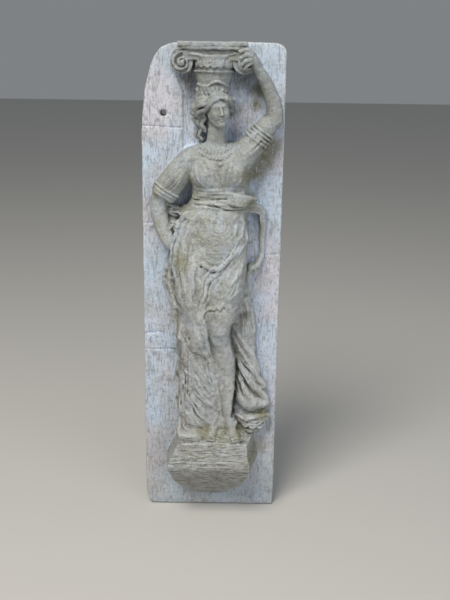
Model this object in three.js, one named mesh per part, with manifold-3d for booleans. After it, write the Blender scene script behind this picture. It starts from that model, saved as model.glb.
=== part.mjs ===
// A cast relief panel: a draped woman stands on a moulded bracket and carries an Ionic capital on her head,
// one arm raised to the volute, the other bent, its hand lost in the cloth at the hip. One casting.
// Millimetres, +Z up. The origin is the middle of the flat back, the face looks towards -Y.
import * as THREE from 'three';
import { mergeVertices } from 'three/addons/utils/BufferGeometryUtils.js';
import Module from 'manifold-3d';

// Driving sizes of the slab; its left shoulder is worn, given as how far in from the edge at which height
const slabWidth = 129;
const slabHeight = 452;
const slabThick = 22;
const edgeRound = 1.6;
const footCorner = { inwards: 5.5, up: 21 };
const topCorner = { inwards: 10.5, down: 10 };
const shoulder = [
  [0, 372],
  [1.3, 394],
  [3.4, 412],
  [8.2, 430.5],
  [11.4, 438.4],
  [17.8, 446.6],
  [26, 450.2],
  [36, 451.4],
];
const recess = { left: -27, right: 31, foot: 90, eaves: 405, top: 432, wide: -36, depth: 2 };
const nailHole = { x: -44.7, h: 389.9, bore: 6, mouth: 8.5, mouthDepth: 1.6 };

// Driving sizes of what stands on it
const bracket = { top: 82.8, leanLeft: 2, leanRight: 8.5, depth: 37.6 };
const capital = { top: 451.6, left: -30.6, right: 29, face: 23 };
const volute = { reach: 9.4, x: 26.9, h: 434.5, turns: 2.1 };
const headPlace = { x: 4.2, d: 19, h: 396, yaw: -14, roll: 7, locks: 6 };
const collar = { x: 4, h: 362.5, reach: 15, drop: 5.5, beads: 15, bead: 1.5 };
const plaster = { color: 0xa9a59b, roughness: 0.85, metalness: 0 };
const facetCount = 9600;

// How the modelling is done: casts draw in a little behind their widest line and reach into the slab;
// a limb ends in a shorter, thinner ring; laid folds are a little stouter than drawn and set this deep.
const castDraw = 0.86;
const inSlab = 3;
const endReach = 0.65;
const endGirth = 0.74;
const foldGirth = 1.25;
const foldSink = 0.5;

const wasm = await Module();
wasm.setup();

// Points of the relief are given as x to the right, d out from the slab's face and h above its foot.
const at = (x, d, h) => new THREE.Vector3(x, -d, h);
const degrees = THREE.MathUtils.degToRad;
const degreesOf = THREE.MathUtils.radToDeg;

// A closed three.js geometry as a solid with its faces outwards.
function solid(geometry) {
  const bare = geometry.index ? geometry.clone() : geometry;
  bare.deleteAttribute('normal');
  bare.deleteAttribute('uv');
  const merged = mergeVertices(bare, 1e-4);
  const corners = new Uint32Array(merged.index.array);
  const points = merged.attributes.position.array;
  if (signedVolume(points, corners) < 0) {
    for (let i = 0; i < corners.length; i += 3) {
      [corners[i + 1], corners[i + 2]] = [corners[i + 2], corners[i + 1]];
    }
  }
  return new wasm.Manifold(new wasm.Mesh({ numProp: 3, vertProperties: points, triVerts: corners }));
}

function signedVolume(points, corners) {
  const [a, b, c] = [new THREE.Vector3(), new THREE.Vector3(), new THREE.Vector3()];
  let sum = 0;
  for (let i = 0; i < corners.length; i += 3) {
    a.fromArray(points, corners[i] * 3);
    b.fromArray(points, corners[i + 1] * 3);
    c.fromArray(points, corners[i + 2] * 3);
    sum += a.dot(b.cross(c));
  }
  return sum;
}

// A closed skin through rings of points: each ring has a middle, two half axes and the power of its oval.
// A ring with a root runs straight back to that depth behind its middle, drawn in a little, as a cast does.
function skin(rings, start, end, around) {
  const geometry = new THREE.SphereGeometry(1, around, rings.length + 1);
  const position = geometry.attributes.position;
  const point = new THREE.Vector3();
  for (let i = 0; i < position.count; i++) {
    const row = Math.floor(i / (around + 1));
    const turn = ((i % (around + 1)) % around) / around * Math.PI * 2;
    if (row === 0) {
      point.copy(start);
    } else if (row > rings.length) {
      point.copy(end);
    } else {
      const { middle, side, lift, power = 2, root } = rings[row - 1];
      const square = (v) => Math.sign(v) * Math.abs(v) ** (2 / power);
      point.copy(middle);
      point.addScaledVector(side, square(Math.cos(turn)));
      point.addScaledVector(lift, square(Math.sin(turn)));
      if (root !== undefined && point.y > middle.y + 0.01) {
        point.sub(middle).multiplyScalar(castDraw).add(middle);
        point.y = root;
      }
    }
    position.setXYZ(i, point.x, point.y, point.z);
  }
  return geometry;
}

const smooth = (points) => new THREE.CatmullRomCurve3(points, false, 'catmullrom', 0.5);

// A round limb, lock or fold along a smooth curve; rows are x, d, h and the radius there. A rooted one
// reaches back into the slab, and one with a depth reaches that many radii behind its middle.
function limb(rows, { around = 10, per = 3, flat = 1, rooted = false, depth } = {}) {
  const path = smooth(rows.map(([x, d, h]) => at(x, d, h)));
  const girth = smooth(rows.map((row) => new THREE.Vector3(row[3], 0, 0)));
  const count = (rows.length - 1) * per;
  const out = new THREE.Vector3(0, 1, 0);
  const ring = (t, shift, scale) => {
    const along = path.getTangent(t);
    const side = new THREE.Vector3().crossVectors(along, out);
    if (side.length() < 0.2) side.set(1, 0, 0);
    side.normalize();
    const lift = new THREE.Vector3().crossVectors(side, along).normalize();
    const r = Math.max(girth.getPoint(t).x, 0.2);
    const middle = path.getPoint(t).addScaledVector(along, shift * r);
    const root = rooted ? inSlab : depth && middle.y + depth * r;
    side.multiplyScalar(r * scale);
    lift.multiplyScalar(r * scale * flat);
    return { middle, root, side, lift };
  };
  const rings = [ring(0, -endReach, endGirth)];
  for (let i = 0; i <= count; i++) rings.push(ring(i / count, 0, 1));
  rings.push(ring(1, endReach, endGirth));
  return skin(rings, ring(0, -1, 1).middle, ring(1, 1, 1).middle, around);
}

// An upright body of oval sections; rows are h, the middle's x and d, and the half width and half depth.
function trunk(rows, { around = 24, per = 2, power = 2 } = {}) {
  const pass = (from) => smooth(rows.map((row) => new THREE.Vector3(...row.slice(from, from + 3))));
  const middles = pass(0);
  const sizes = pass(2);
  const count = (rows.length - 1) * per;
  const rings = [];
  for (let i = 0; i <= count; i++) {
    const m = middles.getPoint(i / count);
    const s = sizes.getPoint(i / count);
    rings.push({
      middle: at(m.y, m.z, m.x),
      side: new THREE.Vector3(s.y, 0, 0),
      lift: new THREE.Vector3(0, -s.z, 0),
      power,
    });
  }
  return skin(rings, rings[0].middle, rings[count].middle, around);
}

function egg([x, d, h], [rx, rd, rh], { yaw = 0, roll = 0, around = 12, rows = 8 } = {}) {
  const geometry = new THREE.SphereGeometry(1, around, rows).rotateX(Math.PI / 2).scale(rx, rd, rh);
  return geometry.rotateY(degrees(roll)).rotateZ(degrees(yaw)).translate(x, -d, h);
}

function block([x, d, h], [width, depth, height], { roll = 0 } = {}) {
  return new THREE.BoxGeometry(width, depth, height).rotateY(degrees(roll)).translate(x, -d, h);
}

function dot([x, d, h], r) {
  return egg([x, d, h], [r, r, r], { around: 8, rows: 6 });
}

// The slab: its outline with softened edges, its shallow recess and the nail hole.
function slab() {
  const half = slabWidth / 2;
  const outline = new THREE.Shape();
  outline.moveTo(-half + footCorner.inwards, 0);
  outline.lineTo(half - 1, 0);
  outline.lineTo(half, 40);
  outline.lineTo(half, slabHeight - topCorner.down);
  outline.quadraticCurveTo(half - 0.6, slabHeight - 1.6, half - topCorner.inwards, slabHeight - 0.5);
  outline.lineTo(0, slabHeight);
  for (const [inwards, h] of shoulder.toReversed()) outline.lineTo(-half + inwards, h);
  outline.lineTo(-half, footCorner.up);
  outline.quadraticCurveTo(-half + 0.8, 4, -half + footCorner.inwards, 0);
  const plate = new THREE.ExtrudeGeometry(outline, {
    depth: slabThick - edgeRound,
    bevelEnabled: true,
    bevelThickness: edgeRound,
    bevelSize: edgeRound,
    bevelOffset: -edgeRound,
    bevelSegments: 2,
    curveSegments: 5,
  });
  plate.rotateX(Math.PI / 2).translate(0, slabThick - edgeRound, 0);
  const back = new THREE.BoxGeometry(2 * slabWidth, 20, 4 * slabHeight).translate(0, slabThick + 10, 0);
  const foot = new THREE.BoxGeometry(2 * slabWidth, 200, 20).translate(0, 0, -10);
  const niche = new THREE.Shape();
  niche.moveTo(recess.left, recess.foot);
  niche.lineTo(recess.left, recess.eaves);
  niche.quadraticCurveTo(recess.left - 1, recess.eaves + 13, recess.wide, recess.eaves + 20);
  niche.lineTo(recess.wide, recess.top);
  niche.lineTo(recess.right, recess.top);
  niche.lineTo(recess.right, recess.foot);
  const sunk = new THREE.ExtrudeGeometry(niche, { depth: 30, bevelEnabled: false, curveSegments: 4 });
  sunk.rotateX(Math.PI / 2).translate(0, recess.depth, 0);
  const { x, h, bore, mouth, mouthDepth } = nailHole;
  const hole = new THREE.CylinderGeometry(bore / 2, bore / 2, 4 * slabThick, 16).translate(x, slabThick, h);
  const dish = new THREE.CylinderGeometry(bore / 2, mouth / 2 + 1, 2 * mouthDepth, 16).translate(x, 0, h);
  return [back, foot, sunk, hole, dish].reduce((whole, away) => whole.subtract(solid(away)), solid(plate));
}

// The moulded bracket: rows are h, left edge, right edge and how far its front stands out.
const bracketRows = [
  [13, -11, 13, 0.5],
  [20, -19, 21, 9],
  [30, -28.5, 29.5, 18],
  [39, -34.4, 34.2, 25],
  [46, -36.4, 36.6, 30.4],
  [51, -37.6, 37.8, 33.6],
  [55.5, -40, 38.4, 36.4],
  [58, -41, 38.6, 37.4],
  [61, -40.4, 38.2, 37.6],
  [62.6, -39.2, 37.5, 36.6],
  [65, -38.2, 37.2, 36.9],
  [66, -37.5, 36.8, 36],
  [68, -36.8, 36.6, 36],
  [72, -35, 36.2, 35],
  [77, -32.6, 35.9, 34],
  [bracket.top, -30, 35.4, 33],
];

function bracketBody() {
  const geometry = new THREE.BoxGeometry(1, 1, 1, 1, 1, bracketRows.length - 1);
  const position = geometry.attributes.position;
  for (let i = 0; i < position.count; i++) {
    const level = Math.round((position.getZ(i) + 0.5) * (bracketRows.length - 1));
    const [h, left, right, out] = bracketRows[level];
    const isFront = position.getY(i) < 0;
    const lean = isFront ? 0 : out / bracket.depth;
    const x = position.getX(i) < 0 ? left - bracket.leanLeft * lean : right + bracket.leanRight * lean;
    position.setXYZ(i, x, isFront ? -out : inSlab, h);
  }
  return geometry;
}

// Part of a level ring about an upright body, as rows for a limb.
function girdle([x, d, h], [across, out], r, { half = 1.5, steps = 10, sway = 0 } = {}) {
  return Array.from({ length: steps + 1 }, (_, i) => {
    const turn = half * (2 * i / steps - 1);
    return [x + across * Math.sin(turn), d + out * Math.cos(turn), h + sway * Math.sin(3 * turn), r];
  });
}

// The Ionic capital on her head.
function capitalParts() {
  const { top, left, right, face } = capital;
  const middle = (left + right) / 2;
  const width = right - left;
  const parts = [
    block([middle, 11, top - 2.4], [width, 30, 4.8]),
    block([middle + 0.5, 10, top - 11], [width - 8, 25.4, 9]),
    limb([
      [-35.8, face - 2.6, 438.6, 0.9],
      [-33.6, face - 1.2, 443.2, 1.2],
      [-29, face, 446, 1.5],
      [0, face + 1, 446.6, 1.7],
      [27, face + 0.4, 445.6, 1.5],
      [32, face - 0.6, 443, 1.2],
    ], { around: 6 }),
  ];
  for (const side of [-1, 1]) {
    const x = side * volute.x;
    const scroll = new THREE.CylinderGeometry(volute.reach, volute.reach, face + 2, 20);
    parts.push(scroll.translate(x, -(face - 2) / 2, volute.h));
    const spiral = [];
    for (let turn = 0; turn <= volute.turns * Math.PI * 2; turn += Math.PI / 4) {
      const r = (volute.reach - 0.9) * Math.exp(-0.16 * turn);
      const angle = Math.PI / 2 - side * turn;
      const girth = 1.25 * Math.exp(-0.05 * turn);
      spiral.push([x + r * Math.cos(angle), face, volute.h + r * Math.sin(angle), girth]);
    }
    parts.push(limb(spiral, { around: 6, per: 1 }), dot([x, face, volute.h], 2));
  }
  const bell = { x: 0.4, d: 8 };
  parts.push(trunk([
    [425.6, bell.x, bell.d, 17.4, 17.6],
    [428, bell.x, bell.d, 17.6, 18.4],
    [433, bell.x, bell.d, 18.4, 19.6],
    [440.5, bell.x, bell.d, 19, 20.6],
  ]));
  const eggs = 7;
  for (let i = 0; i < eggs; i++) {
    const turn = (i - (eggs - 1) / 2) * 0.31;
    const place = [bell.x + 18.2 * Math.sin(turn), bell.d + 19.7 * Math.cos(turn), 433.6];
    parts.push(egg(place, [2.3, 1.8, 3.4], { yaw: degreesOf(turn), around: 8, rows: 6 }));
  }
  parts.push(
    limb(girdle([bell.x, bell.d, 427], [18, 18.4], 1.1), { around: 6, per: 1 }),
    limb(girdle([bell.x, bell.d, 439.4], [19.4, 19.8], 1), { around: 6, per: 1 }),
    limb(girdle([bell.x, bell.d + 0.4, 416], [15.2, 17.4], 1.3, { sway: 1.2 }), { around: 6, per: 1 }),
    trunk([
      [405.5, 0, 9, 12.6, 14],
      [408.5, 0, 9, 14.6, 16.4],
      [412, 0, 9, 15.2, 17.2],
      [415.4, 0.4, 8.6, 15.4, 17.2],
      [419, 0.6, 8, 15.4, 16.4],
      [426.4, 0.2, 8, 17.4, 17.6],
    ]),
  );
  return parts;
}

// The head in a frame of its own: x to its left side, d forward and h up from its middle; then turned.
function headParts() {
  const own = [
    egg([0, -1, 3.6], [10.2, 12.4, 12.4], { around: 16, rows: 12 }),
    egg([0, 3.2, -3.8], [8.5, 10.5, 11.8], { around: 16, rows: 12 }),
    egg([0, 8.6, -12.6], [3.8, 3.4, 3.2]),
    limb([[0, 13.4, 1.6, 0.9], [0, 14.9, -2.6, 1.15], [0, 15.2, -4.6, 1.5]], { around: 6 }),
    egg([0, 13.1, -8.3], [2.7, 1.5, 1.25], { around: 8, rows: 6 }),
  ];
  const { locks } = headPlace;
  for (const side of [-1, 1]) {
    own.push(
      limb([
        [side * 6.4, 9.2, 2.3, 0.9],
        [side * 3.6, 12.1, 3.4, 1],
        [side, 12.9, 2.8, 0.9],
      ], { around: 6 }),
      egg([side * 3.4, 10.9, 0.2], [2, 1.5, 1.2], { around: 8, rows: 6 }),
      egg([side * 4.3, 8.6, -3.8], [3.5, 3.7, 4.2]),
    );
    for (let i = 0; i < locks; i++) {
      const rise = i / (locks - 1);
      const wave = 0.8 * Math.sin(2.4 * i + side);
      own.push(limb([
        [side * 0.6, 12 - 7 * rise, 10 + 2.6 * rise, 1.4],
        [side * (4.6 + 0.6 * rise), 11.4 - 7 * rise, 8.2 + 3.6 * rise + wave, 1.9],
        [side * (8.6 + 0.4 * rise), 7.6 - 6.4 * rise, 5 + 4.2 * rise - wave, 2.1],
        [side * 10.8, 3 - 5 * rise, 1.6 + 5 * rise, 2.2],
        [side * 11.4, -2 - 4 * rise, -1.4 + 5 * rise, 2],
      ], { around: 6, per: 2 }));
    }
  }
  own.push(dot([5.2, 13.2, 8.6], 2.3), dot([2, 13.6, 9.4], 1.6), dot([8.4, 11.2, 7], 1.8));
  const turned = new THREE.Matrix4().makeRotationY(degrees(-headPlace.roll));
  turned.premultiply(new THREE.Matrix4().makeRotationZ(degrees(-headPlace.yaw)));
  turned.setPosition(headPlace.x, -headPlace.d, headPlace.h);
  return own.map((geometry) => geometry.applyMatrix4(turned));
}

// The hair drawn back over the ears, the bun at the left with its three bands, and the curls on the neck.
function hairBehind() {
  const parts = [
    limb([[1.6, 8, 401, 12.6], [1.6, 6, 392, 11.4], [-1, 5, 380, 8]], { around: 12, per: 2, rooted: true }),
    egg([-14.6, 15, 396.6], [5, 6, 5.6]),
    egg([-16.4, 13, 392.4], [3.6, 5, 4]),
    limb([
      [-4, 25, 396.6, 1.7],
      [-8.6, 24, 394.6, 2.1],
      [-12.4, 19.6, 392, 2.2],
      [-14, 15, 389, 1.8],
    ], { around: 6, per: 2 }),
  ];
  const bands = 3;
  for (let i = 0; i < bands; i++) {
    const up = 2.5 * i;
    parts.push(limb([
      [-2, 28 - 0.6 * up, 400 + up, 1.6],
      [-7, 27 - 0.7 * up, 400 + up, 2.1],
      [-12, 23.4 - 0.6 * up, 398.6 + 0.9 * up, 2.4],
      [-15.6, 18 - 0.4 * up, 396.4 + 0.8 * up, 2.1],
    ], { around: 6, per: 2 }));
  }
  const curls = [[-8.6, 17, 391, 6], [-11.6, 14, 390, 8], [-14.4, 10, 388, 7]];
  curls.forEach(([x, d, h, turns], k) => {
    const rows = Array.from({ length: turns }, (_, j) => (
      [x + 1.5 * Math.sin(1.7 * j + 1.3 * k), d - 0.9 * j, h - 3.1 * j, 2.4 - 0.14 * j]
    ));
    parts.push(limb(rows, { around: 6, per: 2 }));
  });
  const waves = 3;
  for (let i = 0; i < waves; i++) {
    const h = 404.6 - 4.6 * i;
    parts.push(limb([
      [11 + i, 21 - 1.4 * i, h + 1, 2],
      [15 + 0.6 * i, 17.4 - 1.6 * i, h - 0.6, 2.4],
      [17.4 - 0.2 * i, 12.6 - 1.2 * i, h - 3, 2.3],
      [16.6 - 0.4 * i, 9 - i, h - 6.4, 1.8],
    ], { around: 6, per: 2 }));
  }
  return parts;
}

// Neck, shoulders, chest and waist.
function bodyParts() {
  return [
    limb([
      [4.5, 15, 386, 8.2],
      [3.6, 14.5, 376, 8],
      [3.2, 13.5, 367, 8.8],
      [3.5, 12, 358, 11],
    ], { around: 14, rooted: true }),
    trunk([
      [300, 1, 13, 32, 19.5],
      [308, 4, 13, 28.5, 18.5],
      [317, 7, 13.5, 25.4, 17],
      [326, 7.4, 14, 25.4, 16.8],
      [335, 7.4, 14.2, 26.2, 17.8],
      [344, 7, 14.2, 26.2, 17.8],
      [352, 5.5, 13, 24.5, 16],
      [358, 4.5, 12, 19, 13.5],
      [363, 4, 12, 11, 10],
    ], { power: 2.3, around: 28 }),
    egg([-8, 25, 340], [10.6, 8.3, 10.8], { around: 16, rows: 10 }),
    egg([17.4, 25, 341.6], [10.6, 8.3, 10.8], { around: 16, rows: 10 }),
    limb([[3, 12, 357, 9], [-12, 12.5, 355, 8.6], [-21, 13, 349, 9.6]], { around: 14, rooted: true }),
    limb([[3, 12, 357, 9], [18, 13, 357, 9.4], [28, 14, 358, 11]], { around: 14, rooted: true }),
  ];
}

function raisedArm() {
  const parts = [
    limb([
      [26, 14, 352, 12],
      [33, 15, 361, 12.4],
      [41, 14.5, 372, 11.6],
      [47, 13.5, 381, 9.2],
    ], { around: 14, rooted: true }),
    limb([
      [46, 13.5, 377.6, 9],
      [53, 12.4, 386.4, 7.4],
      [54.4, 12.6, 393, 7],
      [52.4, 13.4, 402, 6.5],
      [48.2, 15, 412, 5.9],
      [43.4, 18, 422, 5.1],
      [39, 21, 429, 4.6],
      [35, 24, 435.6, 4.4],
    ], { around: 12, per: 2, rooted: true }),
    egg([56.8, 11.6, 385.6], [4.4, 5, 4.6]),
    egg([32.4, 25.6, 438.6], [5.8, 4, 5], { roll: -35 }),
  ];
  const fingers = 4;
  for (let i = 0; i < fingers; i++) {
    const h = 443.4 - 3.1 * i;
    const bow = Math.sin(Math.PI * (i + 1) / (fingers + 1));
    parts.push(limb([
      [32.6 - 0.4 * i, 26.8 + bow, h - 0.4, 2.1 - 0.1 * i],
      [28.4 + 0.2 * i, 28.4 + bow, h + 1 - 0.9 * i, 2 - 0.1 * i],
      [22.4 + 1.3 * i, 26.6 + bow, h - 1.6 * i, 1.6 - 0.1 * i],
    ], { around: 6, per: 2 }));
  }
  const rolls = 3;
  for (let i = 0; i < rolls; i++) {
    parts.push(cuff([39 + 2.4 * i, 14.2, 369.4 + 3 * i], [0.81, -0.585], 11 - 0.7 * i, 2 - 0.15 * i));
  }
  return parts;
}

// Half a rolled edge of a sleeve around the front of an arm; across is the direction over the arm.
function cuff([x, d, h], [ax, ah], reach, r) {
  const steps = 8;
  const past = 0.2;
  const rows = Array.from({ length: steps + 1 }, (_, i) => {
    const turn = -past + (Math.PI + 2 * past) * i / steps;
    const over = reach * Math.cos(turn);
    return [x + ax * over, d + 0.95 * reach * Math.sin(turn), h + ah * over, r];
  });
  return limb(rows, { around: 6, per: 1 });
}

// The bent arm goes behind the cloth of the hip.
function bentArm() {
  const parts = [
    limb([
      [-20, 13.5, 350, 10.4],
      [-27, 13.5, 342, 11.4],
      [-36, 13, 331, 12],
      [-42, 13, 323, 11.4],
    ], { around: 14, rooted: true }),
    limb([
      [-44, 12.5, 321, 8.4],
      [-48, 12, 313, 8],
      [-48.8, 12.5, 305, 7.5],
      [-46.6, 14, 295, 7],
      [-42.6, 16, 284, 6.4],
      [-37.4, 17, 274, 5.8],
      [-32, 17, 268, 5.4],
    ], { around: 12, per: 2, rooted: true }),
  ];
  const rolls = 2;
  for (let i = 0; i < rolls; i++) {
    parts.push(cuff([-41.4 - 2.2 * i, 13, 323.4 - 3.4 * i], [0.83, -0.55], 11.4 - i, 1.9 - 0.2 * i));
  }
  return parts;
}

// Hips and both thighs.
function hipParts() {
  return [
    trunk([
      [200, 0, 12, 26, 17],
      [214, 0, 13, 29, 19.5],
      [228, -1.4, 13, 31.2, 20.5],
      [248, -2.4, 13, 33.2, 21],
      [264, -2.4, 13, 34.4, 21.5],
      [276, -1, 13, 34, 21.5],
      [290, 0.2, 13, 32.6, 21],
      [303, 3, 13, 29.4, 19.5],
      [314, 6, 13, 26, 17.5],
    ], { power: 2.2, around: 28 }),
    egg([6, 24, 284], [17, 11.6, 21], { around: 18, rows: 12 }),
    egg([-17, 26, 236], [11.4, 11.4, 27], { around: 16, rows: 12 }),
    egg([-12.6, 31.4, 190], [8, 5.6, 12], { around: 14, rows: 10 }),
    limb([
      [15, 16, 262, 17],
      [13.5, 20, 240, 15.5],
      [10.5, 25, 218, 12.4],
      [8.6, 27.5, 201, 10.4],
    ], { around: 16 }),
    limb([
      [-17, 14, 262, 17],
      [-16.5, 20, 240, 15.2],
      [-14.2, 24, 215, 12.4],
      [-12, 25.5, 193, 10.4],
      [-11, 22, 176, 9.4],
    ], { around: 16 }),
  ];
}

// The bare leg, both feet and their toes.
function legParts() {
  return [
    limb([
      [10.5, 25, 218, 11.8],
      [8.6, 27.4, 201, 10.4],
      [8.9, 25.4, 190, 9.5],
      [10.4, 22, 180, 9.3],
      [13, 18.6, 164, 10.2],
      [14.6, 17.5, 152, 9.9],
      [16, 17, 135, 8.2],
      [16.8, 17, 119, 6.8],
      [17.6, 17, 106, 5.9],
      [19.4, 16.6, 95, 5.8],
    ], { around: 14, per: 2, rooted: true }),
    egg([8.4, 34.6, 199.5], [5.4, 3.8, 6.4]),
    egg([24, 16, 99], [2.2, 3, 2.6], { around: 8, rows: 6 }),
    limb([
      [18.4, 12, 90, 5.4],
      [20.6, 18, 89.4, 5.2],
      [23.6, 24, 87.8, 4.6],
      [26.4, 29, 86, 3.4],
    ], { around: 10, per: 2 }),
    ...toes([21.8, 29, 86], [2.3, -0.9], 5, 2),
    limb([
      [2, 15, 104, 5.6],
      [2.4, 20, 96, 4.6],
      [2.8, 25.6, 90, 4],
      [2.4, 30, 86.6, 3.2],
    ], { around: 10, per: 2 }),
    ...toes([-0.4, 30, 86.2], [2, 0], 4, 1.6),
  ];
}

function toes([x, d, h], [stepX, stepD], count, girth) {
  return Array.from({ length: count }, (_, i) => limb([
    [x + i * stepX, d + i * stepD, h, girth - 0.14 * i],
    [x + i * stepX + 0.6, d + i * stepD + 3, h - 1, 0.85 * girth - 0.12 * i],
  ], { around: 6, per: 1 }));
}

// Rows that pass step by step from one line to another of as many rows.
function between(first, last, count) {
  return Array.from({ length: count }, (_, i) => first.map((row, j) => (
    row.map((value, k) => THREE.MathUtils.lerp(value, last[j][k], i / (count - 1)))
  )));
}

// The skirt over the covered leg, the falls beside and behind the legs, the sash and its loose end.
function clothBodies() {
  const soft = { around: 8, per: 2, rooted: true };
  return [
    trunk([
      [88, -10, 8, 21, 14],
      [100, -9.6, 9, 21, 15],
      [118, -9.4, 10, 20.6, 15.6],
      [135, -10.6, 10.6, 19, 16],
      [150, -12.4, 11, 17.6, 16.6],
      [175, -13.4, 12, 17.8, 18],
      [196, -11.6, 13, 20, 19],
      [214, -6, 13, 25, 19.5],
    ], { power: 2.3, around: 24 }),
    trunk([
      [90, 30, 0, 12, 7],
      [98, 35, 0, 17, 8.5],
      [108, 37.6, 0, 20.4, 9],
      [120, 37, 0, 19.6, 9.5],
      [140, 34, 0, 16.2, 10],
      [160, 29.4, 0, 13.8, 11],
      [182, 28, 1, 14.4, 12],
      [205, 26, 2, 15.2, 14],
      [224, 22, 4, 15, 17],
    ], { power: 2.3, around: 22 }),
    limb([
      [-33, 3, 266, 6],
      [-36.4, 3, 246, 6],
      [-34, 4, 222, 6],
      [-28.6, 5, 198, 5.6],
      [-25.6, 5, 156, 5.3],
      [-26, 5, 92, 5.3],
    ], { around: 10, flat: 1.5 }),
    limb([[-36, 4, 247, 3.6], [-42.5, 4, 239, 3], [-41, 5, 230, 2.8], [-37, 6, 221, 2.6]], { around: 8 }),
    ...between(
      [[-39, 6, 312, 2.6], [-33, 9, 308, 3.8], [-27, 11, 309, 3.8], [-21, 12, 312, 3.2]],
      [[-37.6, 6, 297.4, 2.2], [-33.6, 8, 295, 3], [-29.6, 9, 296, 3], [-25, 10, 300, 2.2]],
      3,
    ).map((rows) => limb(rows, soft)),
    limb([
      [36, 17, 314.6, 4],
      [40.4, 12, 309.6, 3.3],
      [43.7, 8, 304.6, 2.8],
      [46.2, 5, 295, 2.6],
      [45.8, 3.6, 285, 2.6],
      [44.8, 3, 263, 2.4],
      [42, 3.6, 254, 3.2],
      [36.4, 4.6, 251, 3.6],
      [33.4, 5, 243, 3.3],
    ], soft),
    limb([
      [33.6, 3, 246, 3.4],
      [34.4, 3, 228, 3.7],
      [35.4, 3, 210, 4],
      [38.2, 3, 191, 4.5],
      [39, 3, 163, 5.2],
    ], { around: 8, flat: 1.5 }),
    // the step of rock and the ground under the feet
    block([-19, 15, 85.4], [22, 31, 9.4], { roll: -2 }),
    egg([14, 14, 82], [22, 17, 6.4]),
    egg([0, 20, 81.5], [15, 12, 6]),
    // folds that sweep from the bare knee to the lower right
    ...between(
      [[22, 12, 196, 2], [29, 12.4, 182, 2.8], [39, 11, 166, 3.2], [46, 8, 148, 2.6]],
      [[26, 8, 134, 2], [28, 11, 124, 2.6], [32, 12, 116, 2.9], [38, 11, 110, 2.4]],
      5,
    ).map((rows) => limb(rows, soft)),
    // the hanging end turns over in lobes
    limb([[28, 6, 122, 7], [38, 7.5, 116, 8], [47, 7.4, 115.6, 6.4], [53.4, 6.4, 116.4, 4.4]], soft),
    limb([
      [24, 5, 101, 4.6],
      [32, 7, 99.4, 6.4],
      [42, 8, 97.4, 7.6],
      [50, 7, 99.4, 5.6],
      [56, 5.4, 101.4, 3.2],
    ], soft),
    limb([[30, 4, 90, 4], [38, 6, 88, 5], [45, 6, 90, 4.6], [51, 5, 95, 3.6]], soft),
    ...between(
      [[26, 12, 106, 1.4], [35, 15, 103.6, 1.7], [45, 14.4, 105.4, 1.6]],
      [[29, 8, 91.6, 1.4], [38, 12.4, 89.6, 1.7], [49, 10.4, 94.4, 1.6]],
      3,
    ).map((rows) => limb(rows, { around: 6, per: 2 })),
    // the knot of the sash, drawn tight at the hip
    limb([
      [22, 31.6, 315.4, 1.8],
      [27.6, 30.4, 317, 3.8],
      [32.6, 26.6, 317.8, 4.4],
      [39.6, 17, 315.6, 2],
    ], { around: 8, per: 2 }),
  ];
}

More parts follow.
